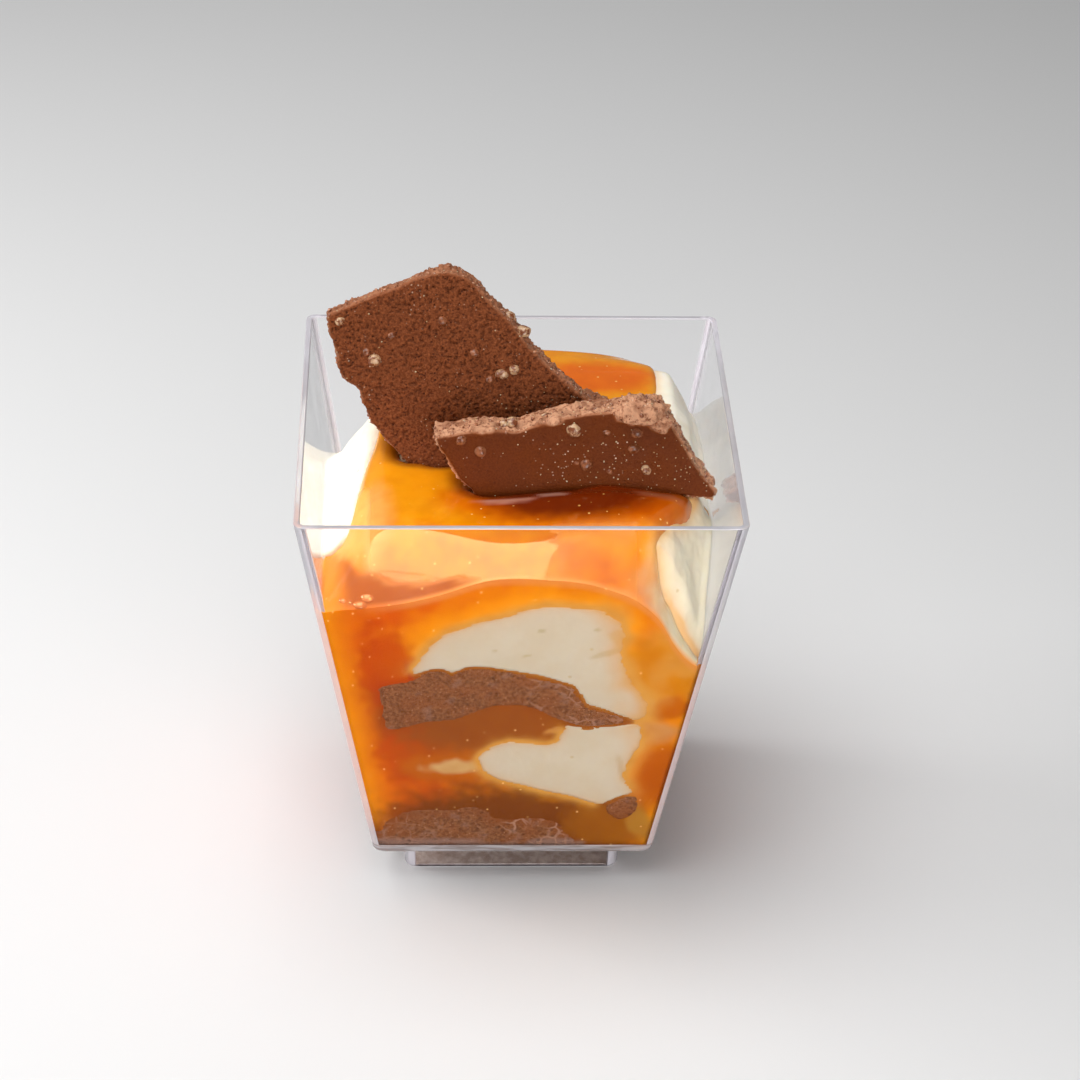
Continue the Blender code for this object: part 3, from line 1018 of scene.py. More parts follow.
def drawn_on(
    bm: bmesh.types.BMesh, loop: Sequence[bmesh.types.BMEdge]
) -> tuple[list[bmesh.types.BMVert], list[bmesh.types.BMEdge]]:
    """Extrudes a loop of edges in place.

    Args:
        bm: The mesh being built.
        loop: The edges.

    Returns:
        The new loop's points and its edges.
    """
    made = bmesh.ops.extrude_edge_only(bm, edges=loop)["geom"]
    verts = [part for part in made if isinstance(part, bmesh.types.BMVert)]
    fresh = set(verts)
    edges = [part for part in made if isinstance(part, bmesh.types.BMEdge) and fresh.issuperset(part.verts)]
    return verts, edges


class CupArea(Enum):
    """The cup's areas, numbered in the order of their finishes."""

    WALL = 0
    EDGE = 1
    FOOT = 2
    BASE = 3


@dataclass
class Cup:
    """The clear tapered cup on its hollow foot."""

    sizes: CupSizes
    finish: ClearPlastic = ClearPlastic()
    edge_finish: MouldedEdge = MouldedEdge()
    # The foot's brownish clouds are a painted reflection of the biscuit above it.
    foot_finish: ClearPlastic = ClearPlastic(
        name="foot plastic", roughness=0.1, tone=(0.78, 0.68, 0.62), cloud=(0.46, 0.35, 0.29)
    )
    # The base band's dark level lines are painted reflections.
    base_finish: MouldedEdge = MouldedEdge(
        name="moulded base", shade=(0.82, 0.79, 0.82), darker=(0.42, 0.34, 0.32), darkened=0.9,
        lines=9.0, clearness=0.55, roughness=0.1,
    )
    corner_steps: int = 7
    base_steps: int = 5
    rounded: float = 0.3
    milky_below: float = 7.5
    foot_share: float = 0.9
    smooth_under: float = 14.0
    flat_at: float = 0.97
    level_at: float = 0.5

    def profile(self) -> list[tuple[float, float, float]]:
        """The rings of the wall, from the recess under the foot, round the outside, to the floor.

        Returns:
            Height, half width and corner radius of each ring.
        """
        size = self.sizes
        recess = size.foot_half - size.foot_wall
        rings = [
            (size.foot_height, recess, size.foot_corner - size.foot_wall),
            (0.0, recess - size.foot_slant, size.foot_corner - size.foot_wall),
            (0.0, size.foot_half - size.foot_slant, size.foot_corner),
            (size.foot_height, size.foot_half, size.foot_corner),
        ]
        radius = size.outer_corner
        for step in range(self.base_steps + 1):
            turn = 0.5 * math.pi * step / self.base_steps
            height = size.foot_height + radius * (1.0 - math.cos(turn))
            half = size.outer_half(size.foot_height + radius) - radius * (1.0 - math.sin(turn))
            rings.append((height, half, radius))
        rings.append((self.milky_below, size.outer_half(self.milky_below), radius))
        rings.append((size.height, size.rim_half, radius))
        rings.append((size.height, size.inner_half(size.height), size.inner_corner))
        rings.append((size.floor, size.inner_half(size.floor), size.inner_corner))
        return rings

    def build(self) -> bpy.types.Object:
        """Draws the wall out ring by ring from one rounded square.

        Returns:
            The cup.
        """
        bm = bmesh.new()
        bmesh.ops.create_grid(bm, x_segments=1, y_segments=1, size=1.0)
        bmesh.ops.bevel(
            bm, geom=bm.verts[:], offset=self.rounded, segments=self.corner_steps, profile=0.5,
            affect="VERTICES", material=-1,
        )
        corner = bm.verts.layers.float_vector.new("corner")
        turn = bm.verts.layers.float_vector.new("turn")
        for vert in bm.verts:
            side = Vector((math.copysign(1.0, vert.co.x), math.copysign(1.0, vert.co.y), 0.0))
            vert[corner] = side
            vert[turn] = (vert.co - side * (1.0 - self.rounded)).normalized()
        rings = self.profile()
        loop = [edge for edge in bm.edges if edge.is_boundary]
        self._shape(bm.verts[:], corner, turn, rings[0])
        under_foot, rim = (1, 2), (len(rings) - 3, len(rings) - 2)
        creased = []
        for number, ring in enumerate(rings[1:], start=1):
            verts, loop = drawn_on(bm, loop)
            self._shape(verts, corner, turn, ring)
            if number in under_foot + rim:
                creased += loop
        bmesh.ops.contextual_create(bm, geom=loop)
        bmesh.ops.bevel(
            bm, geom=creased, offset=self.sizes.edge * MM, segments=2, profile=0.5, affect="EDGES", material=-1
        )
        bmesh.ops.recalc_face_normals(bm, faces=bm.faces[:])
        piece = show(mesh_of("cup_wall", bm), 35.0)
        for side in piece.data.polygons:
            side.use_smooth = side.area < self.smooth_under * MM * MM
            side.material_index = self._area(side).value
        finishes = (self.finish, self.edge_finish, self.foot_finish, self.base_finish)
        return stands_for(piece, [finish.material() for finish in finishes], "clear_plastic", "cup")

    def _area(self, side: bpy.types.MeshPolygon) -> CupArea:
        """Tells which area of the cup a face belongs to.

        Args:
            side: The face.

        Returns:
            The area.
        """
        height = side.center.z / MM
        flat = max(abs(value) for value in side.normal) > self.flat_at
        above_foot = height > self.foot_share * self.sizes.foot_height
        if flat and not above_foot:
            return CupArea.FOOT
        if above_foot and height < self.milky_below and side.normal.z < self.level_at:
            return CupArea.BASE
        if height > self.sizes.height - 2.0 * self.sizes.edge or not flat:
            return CupArea.EDGE
        return CupArea.WALL

    def _shape(
        self, verts: Iterable[bmesh.types.BMVert], corner: Any, turn: Any, ring: tuple[float, float, float]
    ) -> None:
        """Puts a ring's points in their places.

        Args:
            verts: The points.
            corner: The layer that holds the corner each point belongs to.
            turn: The layer that holds its direction from that corner's middle.
            ring: The ring's height, half width and corner radius.
        """
        height, half, radius = ring
        for vert in verts:
            place = vert[corner] * (half - radius) + vert[turn] * radius
            vert.co = Vector((place.x, place.y, height)) * MM


class Cover(Enum):
    """What lies on top at a place in the cup."""

    SAUCE = "sauce"
    CREAM = "bare cream"
    SLAB = "hidden under a slab"


class Surroundings:
    """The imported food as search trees, for heights and distances."""

    ABOVE_ALL = 90.0

    def __init__(self) -> None:
        """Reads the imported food."""
        self.caramel = tree_of("caramel")
        self.cream = [tree_of("cream_upper"), tree_of("cream_lower")]
        self.biscuit = [tree_of(node) for node in ("biscuit_middle", "biscuit_base", "biscuit_chip")]
        self.slabs = [tree_of("slab_back"), tree_of("slab_front")]

    def drop(self, tree: BVHTree, x: float, y: float) -> float:
        """Height of a tree's top at a place in millimetres, or 0 where there is none."""
        hit = tree.ray_cast(Vector((x, y, self.ABOVE_ALL)) * MM, Vector((0.0, 0.0, -1.0)))[0]
        return hit.z / MM if hit is not None else 0.0

    def distance(self, trees: Sequence[BVHTree], point: Vector, reach: float) -> float:
        """Distance in millimetres to the nearest of the trees, at most reach."""
        found = [tree.find_nearest(point * MM, reach * MM)[3] for tree in trees]
        return min([reach] + [value / MM for value in found if value is not None])


def blending(point: Vector, narrow: float, wide: float) -> float:
    """Width over which cream and sauce run together: narrow, and up to wide more at the front right."""
    place = ramp(point.x, 7.0, 16.0) * ramp(-point.y, 4.0, 12.0) * ramp(point.z, 24.0, 32.0)
    return narrow + wide * place * max(0.0, 0.55 + wave(point, 3.0, 21.0))


@dataclass(frozen=True)
class SauceMark:
    """A soft patch of another colour: across and up the front wall, or across and back on top."""

    across: float
    along: float
    wide: float
    tall: float
    color: Color
    strength: float = 1.0
    turn: float = 0.0
    ragged: float = 0.35

    def over(self, color: Sequence[float], across: float, along: float, point: Vector) -> list[float]:
        """Blends the patch into a colour.

        Args:
            color: The colour so far.
            across: The point's place across.
            along: Its place up the wall, or back on top.
            point: The point in millimetres, for the patch's ragged border.

        Returns:
            The blended colour.
        """
        right, up = across - self.across, along - self.along
        cos, sin = math.cos(math.radians(self.turn)), math.sin(math.radians(self.turn))
        away = math.hypot((right * cos + up * sin) / self.wide, (up * cos - right * sin) / self.tall)
        away += self.ragged * (wave(point, 1.4, self.across) + 0.5 * wave(point, 3.5, self.along))
        return mixed(color, self.color, self.strength * fall(away, 0.55, 1.2))


def marked(
    color: Sequence[float], marks: Iterable[SauceMark], across: float, along: float, point: Vector
) -> Sequence[float]:
    """Blends patches into a colour, one after another.

    Args:
        color: The colour so far.
        marks: The patches.
        across: The point's place across.
        along: Its place up the wall, or back on top.
        point: The point in millimetres.

    Returns:
        The blended colour.
    """
    for mark in marks:
        color = mark.over(color, across, along, point)
    return color


@dataclass(frozen=True)
class SauceLook:
    """Where the sauce is pale, deep, brown, marked or dull, and where light, shade and reflections are painted
    into it.
    """

    sizes: CupSizes
    around: Surroundings
    front_marks: tuple[SauceMark, ...]
    # Tones of the sauce's top, with painted reflections and painted shade.
    top_tones_and_painted_light: tuple[SauceMark, ...]
    # Painted highlights on the sauce's top, laid over everything else.
    painted_gleams: tuple[SauceMark, ...]
    cream: Color = SOAKED_CREAM
    thin: Color = srgb(246, 158, 0)
    deep: Color = srgb(208, 80, 0)
    # glow: painted light, the brighter, yellower sauce near the cup's vertical corners, where light comes
    # through the thin sauce.
    glow: Color = srgb(250, 160, 0)
    biscuit: Color = srgb(140, 66, 18)
    # shaded: painted shade and painted reflection of the slabs, darkening the sauce close to their feet.
    shaded: Color = srgb(120, 36, 0)
    # lip: a painted highlight, a pale line on the front wall just under where the sauce's top meets it.
    lip: Color = srgb(226, 148, 78)
    # corner and corner_glow: the calm left front pool, painted light by the left wall and darker further in.
    corner: Color = srgb(158, 60, 4)
    corner_glow: Color = srgb(226, 122, 0)
    on_wall: float = 0.3
    behind: float = 0.4
    film: float = 0.42
    film_pressed: float = 1.5
    film_open: float = 0.4
    clear_of_cream: float = 0.5
    reach: float = 4.2
    curve: float = 1.4
    corner_light: float = 2.8
    crumb_reach: float = 1.1
    corner_area: Span = (20.0, 30.0)
    corner_across: Span = (-10.0, -3.0)
    corner_back: Span = (-14.0, -9.0)
    corner_rise: Span = (1.5, 5.0)
    flank_across: Span = (-21.5, -19.5)
    flank_back: Span = (-9.0, -5.0)
    patch_end: Span = (4.6, 5.4)
    patch_step: Span = (24.5, 26.0)
    soft_end: Span = (13.0, 18.0)
    soft_back: Span = (-20.0, -18.0)
    softened: float = 0.5
    slab_shade: Span = (0.5, 2.6)
    lip_below: Span = (0.3, 1.5)
    lip_across: Span = (-24.0, -14.0)

    def _in_corner(self, point: Vector) -> float:
        """Share of a place that belongs to the calm pool in the left front corner.

        Args:
            point: The place in millimetres.

        Returns:
            The share, from 0 to 1.
        """
        half = self.sizes.inner_half(point.z)
        area = max(half + point.x, 0.0) * max(half + point.y, 0.0) + 5.0 * wave(point, 2.2, 41.0)
        near = fall(point.x, *self.corner_across) * fall(point.y, *self.corner_back)
        return near * fall(area, *self.corner_area)

    def dullness(self, point: Vector) -> float:
        """How little gloss the sauce shows in the left corner, up its flank and past the patch of light.

        Args:
            point: The place in millimetres.

        Returns:
            The dullness, from 0 to 1.
        """
        flank = fall(point.x, *self.flank_across) * fall(point.y, *self.flank_back)
        ragged = point.x + 2.0 * wave(point, 1.8, 47.0) + 1.8 * ramp(-point.y, *self.patch_step)
        past = ramp(ragged, *self.patch_end) * fall(point.x, *self.soft_end) * fall(point.y, *self.soft_back)
        return max(self._in_corner(point), flank, self.softened * past)

    def color_at(self, point: Vector, below: float) -> Color:
        """Colour of the sauce at a place: pale over cream, deep orange where it is thick.

        Args:
            point: The place in millimetres.
            below: How far it is down the wall from the line where the sauce's top meets it.

        Returns:
            The linear colour.
        """
        half = self.sizes.inner_half(point.z)
        wall = half - max(abs(point.x), abs(point.y))
        pressed = wall < self.on_wall
        behind, wide = (self.behind, self.film_pressed) if pressed else (0.0, self.film_open)
        soft = max(0.35, 1.0 + 0.45 * wave(point, 4.0, 3.0) + 0.25 * wave(point, 1.3, 8.0))
        depth = max(0.0, self.around.distance(self.around.cream, point, 12.0) - behind) / soft
        crumb = max(0.0, self.around.distance(self.around.biscuit, point, 5.0) - behind)
        film = math.exp(-depth / blending(point, self.film, wide))
        pool = 1.0 - math.exp(-((max(depth - self.clear_of_cream, 0.0) / self.reach) ** self.curve))
        color = mixed(mixed(self.thin, self.cream, film), self.deep, pool)
        corner = math.hypot(half - abs(point.x), half - abs(point.y))
        # Painted light: brighter and yellower towards the cup's vertical corners.
        color = mixed(color, self.glow, 0.95 * math.exp(-corner / self.corner_light) * ramp(depth, 0.2, 2.0))
        brown = 0.85 * math.exp(-crumb / self.crumb_reach)
        color = mixed(color, self.biscuit, brown * max(ramp(depth, 0.1, 1.0), fall(crumb, 0.1, 0.6)))
        if not pressed:
            color = self._on_top(color, point)
        elif point.y < 0.0 and abs(point.y) > abs(point.x) - self.on_wall:
            color = marked(color, self.front_marks, point.x, point.z, point)
            color = mixed(color, self.cream, film * ramp(crumb, 0.3, 1.5))
            # Painted highlight: a pale line just under the sauce's contact line on the front wall.
            lip = 0.6 * fall(below, *self.lip_below) * ramp(point.x, *self.lip_across)
            color = mixed(color, self.lip, lip)
        return tuple(color)

    def _on_top(self, color: Sequence[float], point: Vector) -> Sequence[float]:
        """Adds what only the sauce's open top shows: tones, painted reflections, the left front pool with
        painted light by its wall, painted shade by the slabs and painted highlights.

        Args:
            color: The colour so far.
            point: The place in millimetres.

        Returns:
            The blended colour.
        """
        color = marked(color, self.top_tones_and_painted_light, point.x, point.y, point)
        # The calm left front pool: painted light by the left wall, darker further in.
        calm = self._in_corner(point)
        color = mixed(color, self.corner_glow, calm)
        from_left = self.sizes.inner_half(point.z) + point.x
        color = mixed(color, self.corner, 0.9 * calm * ramp(from_left, *self.corner_rise))
        # Painted shade and painted reflection of the slabs: darker close to their feet.
        under = self.around.distance(self.around.slabs, point, 5.0)
        color = mixed(color, self.shaded, 0.75 * fall(under, *self.slab_shade))
        return marked(color, self.painted_gleams, point.x, point.y, point)


def beside(vert: bmesh.types.BMVert) -> list[bmesh.types.BMVert]:
    """The points that share an edge with a point."""
    return [edge.other_vert(vert) for edge in vert.link_edges]


@dataclass
class CaramelFill:
    """Caramel all round and over the cream, drawn against the inside of the cup."""

    sizes: CupSizes
    around: Surroundings
    look: SauceLook
    into_wall: float = 0.10
    into_floor: float = 0.05
    columns: int = 144
    rows: int = 84
    rings: int = 118
    searched: Span = (32.0, 64.0)
    halvings: int = 10
    sampled_in: float = 0.45
    cream_bare: float = 0.15
    under_bare: float = 0.3
    pocket: float = 1.0
    slab_foot: float = 60.3
    pocket_rounds: int = 30
    duck_rounds: int = 3
    below_cream: float = 0.4
    border_rounds: int = 10
    level_rounds: int = 9
    corner_rounds: int = 40
    corner_share: Span = (-0.5, -0.45)
    climb: float = 0.4
    climb_width: float = 1.1
    climb_on_slabs: float = 0.5
    climb_reach: Span = (0.1, 1.3)
    corner_swell: float = 0.8
    swell_width: float = 4.0
    lifted_above: float = 30.0
    front: Span = (-24.0, -14.0)
    left: Span = (-24.0, -13.0)
    left_half: Span = (-9.0, 0.0)

    def _height(self, x: float, y: float) -> tuple[float, Cover]:
        """Finds the food's top at a place.

        Args:
            x: Place across in millimetres.
            y: Place in depth in millimetres.

        Returns:
            Its height, and what lies there.
        """
        caramel = self.around.drop(self.around.caramel, x, y)
        cream = self.around.drop(self.around.cream[0], x, y)
        if caramel <= cream - self.cream_bare:
            top, cover = cream - self.under_bare, Cover.CREAM
        else:
            top, cover = caramel, Cover.SAUCE
        foot = Vector((x, y, max(top, self.slab_foot)))
        if self.around.distance(self.around.slabs, foot, 1.0) < self.pocket:
            cover = Cover.SLAB
        return top, cover

    def _top(self, across: float, deep: float) -> tuple[float, Cover]:
        """Finds by halving where shares of the cup's inside width meet the food.

        Args:
            across: Share across, from -1 to 1.
            deep: Share in depth, from -1 to 1.

        Returns:
            The height there, and what lies there.
        """
        low, high = self.searched
        cover = Cover.SAUCE
        for _ in range(self.halvings):
            z = 0.5 * (low + high)
            half = self.sizes.inner_half(z) - self.sampled_in
            height, cover = self._height(across * half, deep * half)
            if height > z:
                low = z
            else:
                high = z
        return 0.5 * (low + high), cover

    def build(self) -> bpy.types.Object:
        """Drapes a grid over the filling, then draws its border down the walls to the floor.

        Returns:
            The sauce.
        """
        bm = bmesh.new()
        bmesh.ops.create_grid(bm, x_segments=self.columns, y_segments=self.rows, size=1.0)
        share = bm.verts.layers.float_vector.new("share")
        below = bm.verts.layers.float.new("below")
        self._drape(bm, share)
        surface = set(bm.faces)
        loop = self._draw_down(bm, share, below)
        bmesh.ops.contextual_create(bm, geom=loop)
        bmesh.ops.recalc_face_normals(bm, faces=bm.faces[:])
        for face in bm.faces:
            face.material_index = 0 if face in surface else 1
        piece = show(mesh_of("caramel_sauce", bm), 50.0)
        points = [Vector(point) for point in points_of(piece.data)]
        down = [entry.value for entry in piece.data.attributes["below"].data]
        paint(piece.data, "tint", [self.look.color_at(*pair) for pair in zip(points, down)])
        paint(piece.data, "dull", [(self.look.dullness(point),) * 3 for point in points])
        return stands_for(piece, [CaramelSauce().material(), PressedCaramel().material()], "caramel", "caramel")

    def _drape(self, bm: bmesh.types.BMesh, share: Any) -> None:
        """Lays the grid on the food, level over the slabs' pockets and under bare cream.

        Args:
            bm: The grid, from -1 to 1 each way.
            share: The layer that keeps each point's share of the cup's inside width.
        """
        cover: dict[bmesh.types.BMVert, Cover] = {}
        for vert in bm.verts:
            vert[share] = vert.co.copy()
            vert.co.z, cover[vert] = self._top(vert.co.x, vert.co.y)
        border = [vert for vert in bm.verts if vert.is_boundary]
        inside = [vert for vert in bm.verts if not vert.is_boundary]
        self._fill(bm, [vert for vert in inside if cover[vert] is Cover.SLAB])
        self._duck([vert for vert in bm.verts if cover[vert] is Cover.CREAM])
        for _ in range(self.border_rounds):
            self._even(border)
        self._level(bm, inside, self.level_rounds)
        left, near = self.corner_share
        self._level(bm, [vert for vert in inside if vert.co.x < left and vert.co.y < near], self.corner_rounds)
        for vert in bm.verts:
            self._seat(vert, share, vert.co.z)
        for vert in inside:
            if cover[vert] is not Cover.CREAM:
                near = self.around.distance(self.around.slabs, vert.co / MM, 2.0)
                vert.co.z += self.climb_on_slabs * fall(near, *self.climb_reach) * MM

    def _draw_down(self, bm: bmesh.types.BMesh, share: Any, below: Any) -> list[bmesh.types.BMEdge]:
        """Draws the grid's border down the walls.

        Args:
            bm: The draped grid.
            share: The layer with each point's share of the cup's inside width.
            below: The layer that takes each point's distance down from the border.

        Returns:
            The edges of the last loop, on the floor.
        """
        loop = [edge for edge in bm.edges if edge.is_boundary]
        heights = {vert: vert.co.z / MM for vert in bm.verts if vert.is_boundary}
        for number in range(1, self.rings + 1):
            fresh, loop = drawn_on(bm, loop)
            known = set(fresh)
            heights = {vert: heights[other] for vert in fresh for other in beside(vert) if other not in known}
            for vert in fresh:
                drop = (self.sizes.floor - self.into_floor - heights[vert]) * (number / self.rings)
                self._seat(vert, share, heights[vert] + drop)
                vert[below] = heights[vert] - vert.co.z / MM
        return loop

    def _fill(self, bm: bmesh.types.BMesh, hidden: Sequence[bmesh.types.BMVert]) -> None:
        """Carries the sauce's level across the slabs' pockets.

        Args:
            bm: The grid.
            hidden: Its points in the pockets.
        """
        waiting = set(hidden)
        while waiting:
            rim = [vert for vert in waiting if any(other not in waiting for other in beside(vert))]
            for vert in rim:
                known = [other.co.z for other in beside(vert) if other not in waiting]
                vert.co.z = sum(known) / len(known)
            waiting.difference_update(rim)
        self._level(bm, hidden, self.pocket_rounds)

    def _level(self, bm: bmesh.types.BMesh, verts: Sequence[bmesh.types.BMVert], rounds: int) -> None:
        """Evens out the heights of some points of the top.

        Args:
            bm: The grid.
            verts: Its points.
            rounds: How often they are evened.
        """
        only_up = {"use_axis_x": False, "use_axis_y": False, "use_axis_z": True}
        for _ in range(rounds):
            bmesh.ops.smooth_vert(bm, verts=verts, factor=0.5, **only_up)

    def _duck(self, bare: Sequence[bmesh.types.BMVert]) -> None:
        """Lowers the sauce under bare cream, further where the cream is steep.

        Args:
            bare: The grid's points there.
        """
        for _ in range(self.duck_rounds):
            lowest = {vert: min([vert.co.z] + [other.co.z for other in beside(vert)]) for vert in bare}
            for vert, height in lowest.items():
                vert.co.z = height
        for vert in bare:
            vert.co.z -= self.below_cream

    def _even(self, border: Sequence[bmesh.types.BMVert]) -> None:
        """Evens out the heights along the line where the sauce meets the walls.

        Args:
            border: The grid's points on that line.
        """
        heights = {}
        for vert in border:
            near = [edge.other_vert(vert).co.z for edge in vert.link_edges if edge.is_boundary]
            heights[vert] = 0.5 * vert.co.z + 0.25 * sum(near)
        for vert, height in heights.items():
            vert.co.z = height

    def _seat(self, vert: bmesh.types.BMVert, share: Any, z: float) -> None:
        """Puts a point as far out as its share of the cup's inside width.

        Args:
            vert: The point.
            share: The layer with its share.
            z: Its height in millimetres, to which the sauce's swell by the walls is added.
        """
        half = self.sizes.inner_half(z) + self.into_wall
        x, y = self.sizes.against_corner(vert[share].x * half, vert[share].y * half, half)
        edge = half - max(abs(x), abs(y))
        lift = 0.0
        if vert.link_faces and z > self.lifted_above and edge > 0.01:
            front = fall(y, *self.front)
            corner = fall(x, *self.left) * front
            lift = self.climb * fall(edge, 0.0, self.climb_width) * (1.0 - fall(x, *self.left_half) * front)
            inward = ramp(half + x, 0.0, self.swell_width) * ramp(half + y, 0.0, self.swell_width)
            lift += self.corner_swell * corner * inward
        vert.co = Vector((x, y, z + lift)) * MM


@dataclass(frozen=True)
class StainsAndShade:
    """What the sauce and the clear wall do to the colours of the cream and the biscuit, with painted shade on
    the cream.
    """

    sizes: CupSizes
    around: Surroundings
    cream: Color
    marks: tuple[SauceMark, ...]
    soaked: Color = SOAKED_CREAM
    # pressed: the front wall's cream, partly the look of cream pressed on the wall, partly painted shade.
    pressed: Color = (0.68, 0.635, 0.57)
    # mound: painted shade, the open cream mound at the front right darker than plain cream.
    mound: Color = srgb(230, 222, 196)
    by_biscuit: Span = (0.2, 1.2)
    pressed_by: float = 0.5
    mound_across: Span = (13.0, 17.0)
    mound_front: Span = (4.0, 9.0)
    mound_up: Span = (46.0, 54.0)
    border: float = 0.45
    mound_border: float = 0.8
    front_border: float = 2.4
    base_up: Span = (12.0, 15.0)
    base_left: Span = (-18.0, -12.0)
    base_middle: Span = (-3.0, 1.0)
    base_right: Span = (9.0, 11.0)
    right_across: Span = (0.0, 4.0)
    right_up: Span = (28.0, 31.0)
    floor_up: Span = (8.0, 9.0)
    soaked_in: Span = (0.5, 2.6)

    def on_cream(self, point: Vector) -> Color:
        """Golden where the cream runs out into sauce; duller on the front wall, partly as pressed cream and
        partly as painted shade; painted shade on the open mound at the front right.

        Args:
            point: The place in millimetres.

        Returns:
            The cream's linear colour.
        """
        near = self.around.distance([self.around.caramel], point, 6.0)
        dry = fall(self.around.distance(self.around.biscuit, point, 2.0), *self.by_biscuit)
        front = fall(self.sizes.inner_half(point.z) + point.y, 0.0, self.pressed_by)
        mound = ramp(point.x, *self.mound_across) * ramp(-point.y, *self.mound_front) * (1.0 - front)
        narrow = self.border + self.mound_border * mound * ramp(point.z, *self.mound_up)
        width = blending(point, narrow, self.front_border * front)
        share = (1.0 - 0.7 * dry) * math.exp(-max(near - 0.35, 0.0) / width)
        # Darker on the front wall, partly as pressed cream and partly as painted shade.
        plain = [c * (1.0 + (p - 1.0) * front) for c, p in zip(self.cream, self.pressed)]
        # Painted shade on the open mound at the front right.
        plain = mixed(plain, self.mound, mound)
        if front > 0.5:
            plain = marked(plain, self.marks, point.x, point.z, point)
        return tuple(mixed(plain, self.soaked, share * (0.35 + 0.65 * max(front, 0.6 * mound))))

    def on_biscuit(self, point: Vector) -> Color:
        """Shows where pale veins, grey pockets of air by the wall and soaked-in sauce are.

        Args:
            point: The place in millimetres.

        Returns:
            The share of each of the three, from 0 to 1.
        """
        wet = 0.5 + 0.5 * wave(point, 3.5, 2.0)
        base = fall(point.z, *self.base_up)
        low = base * (0.3 + 0.7 * ramp(point.x, *self.base_middle)) * fall(point.x, *self.base_right)
        right = ramp(point.x, *self.right_across) * ramp(point.z, *self.right_up)
        veins = 0.85 * low * ramp(wet, 0.32, 0.6) + 0.5 * right * ramp(wet, 0.35, 0.65)
        floor_gap = fall(point.z, *self.floor_up) * ramp(wet, 0.4, 0.5)
        pocket = 0.3 * ramp(wave(point, 1.6, 31.0), 0.3, 0.42) + 0.8 * floor_gap
        edge = fall(self.around.distance([self.around.caramel], point, 3.0), *self.soaked_in)
        soaked = 0.95 * edge * base + 0.5 * base * fall(point.x, *self.base_left)
        return min(veins, 1.0), min(pocket, 0.9), min(soaked, 0.95)


@dataclass
class WallLayer:
    """A layer of cream or biscuit, remade finely and pressed against the inside of the cup."""

    sizes: CupSizes
    node: str
    name: str
    slot: str
    stain: Callable[[Vector], Color]
    voxel: float = 0.45
    into_wall: float = 0.14
    into_floor: float = 0.09
    from_wall: float = 1.0
    near_wall: float = 0.32
    swell: float = 0.18
    swell_size: float = 3.0
    swell_from: float = 0.4
    swell_over: float = 1.2
    grow: float = 0.16
    evened: int = 2

    def build(self, finish: bpy.types.Material) -> bpy.types.Object:
        """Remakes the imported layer.

        Args:
            finish: Its finish.

        Returns:
            The layer.
        """
        mesh = remeshed(self.name, self.node, self.voxel)
        points = points_of(mesh)
        move_points(mesh, np.stack([spread(mesh, points[:, axis], self.evened) for axis in range(3)], axis=1))
        points = self._pressed(self._swollen(points_of(mesh), rows_of(mesh, "normal")))
        move_points(mesh, points)
        paint(mesh, "stain", [self.stain(Vector(point)) for point in points])
        return stands_for(show(mesh, 60.0), [finish], self.slot, self.node)

    def _room(self, points: np.ndarray) -> tuple[np.ndarray, np.ndarray]:
        """Half the inside width at each point, and how far each is from the two nearest walls."""
        half = self.sizes.inner_half(points[:, 2])
        return half, half[:, None] - np.abs(points[:, :2])

    def _swollen(self, points: np.ndarray, normals: np.ndarray) -> np.ndarray:
        """Adds soft unevenness, away from the walls.

        Args:
            points: Rows in millimetres.
            normals: Their normals.

        Returns:
            The moved points.
        """
        _, gaps = self._room(points)
        free = np.clip((gaps.min(axis=1) - self.swell_from) / self.swell_over, 0.0, 1.0)
        coarse = np.array([wave(point, self.swell_size) for point in points])
        fine = np.array([wave(point, self.swell_size / 3.0, 5.0) for point in points])
        return points + normals * (self.grow + self.swell * free * (coarse + 0.4 * fine))[:, None]

    def _drawn(self, gaps: np.ndarray, into: float) -> np.ndarray:
        """Distances from a wall, with what is near it drawn up to it and this far into it."""
        share = np.clip((self.from_wall - gaps) / (self.from_wall - self.near_wall), 0.0, 1.0)
        return np.maximum(gaps - share * (self.near_wall + into), -into)

    def _pressed(self, points: np.ndarray) -> np.ndarray:
        """Draws what is near a wall or the floor up to it and just into it.

        Args:
            points: Rows in millimetres.

        Returns:
            The moved points.
        """
        half, gaps = self._room(points)
        made = points.copy()
        made[:, :2] = np.sign(points[:, :2]) * (half[:, None] - self._drawn(gaps, self.into_wall))
        made[:, 2] = self.sizes.floor + self._drawn(points[:, 2] - self.sizes.floor, self.into_floor)
        return made


@dataclass
class Bubbles:
    """Air bubbles risen to the sauce's surface by the front wall."""

    around: Surroundings
    places: Sequence[tuple[float, float, float]]
    color: Color = srgb(204, 112, 56)
    flat: float = 0.5

    def build(self, finish: bpy.types.Material) -> bpy.types.Object:
        """Sets a low dome at each place: across, deep and half width, in millimetres.

        Args:
            finish: The bubbles' finish.

        Returns:
            The bubbles, as one piece.
        """
        bm = bmesh.new()
        tint = bm.verts.layers.float_color.new("tint")
        for x, y, half in self.places:
            middle = Vector((x, y, self.around.drop(self.around.caramel, x, y))) * MM
            made = bmesh.ops.create_uvsphere(bm, u_segments=20, v_segments=12, radius=half * MM)["verts"]
            for vert in made:
                vert[tint] = (*self.color, 1.0)
                vert.co = middle + Vector((vert.co.x, vert.co.y, vert.co.z * self.flat))
        return stands_for(show(mesh_of("sauce_bubbles", bm)), [finish], "caramel")


@dataclass(frozen=True)
class Nib:
    """A crystal or nib on a slab, on the slab's own axes."""

    along: float
    up: float
    behind: float
    half: float


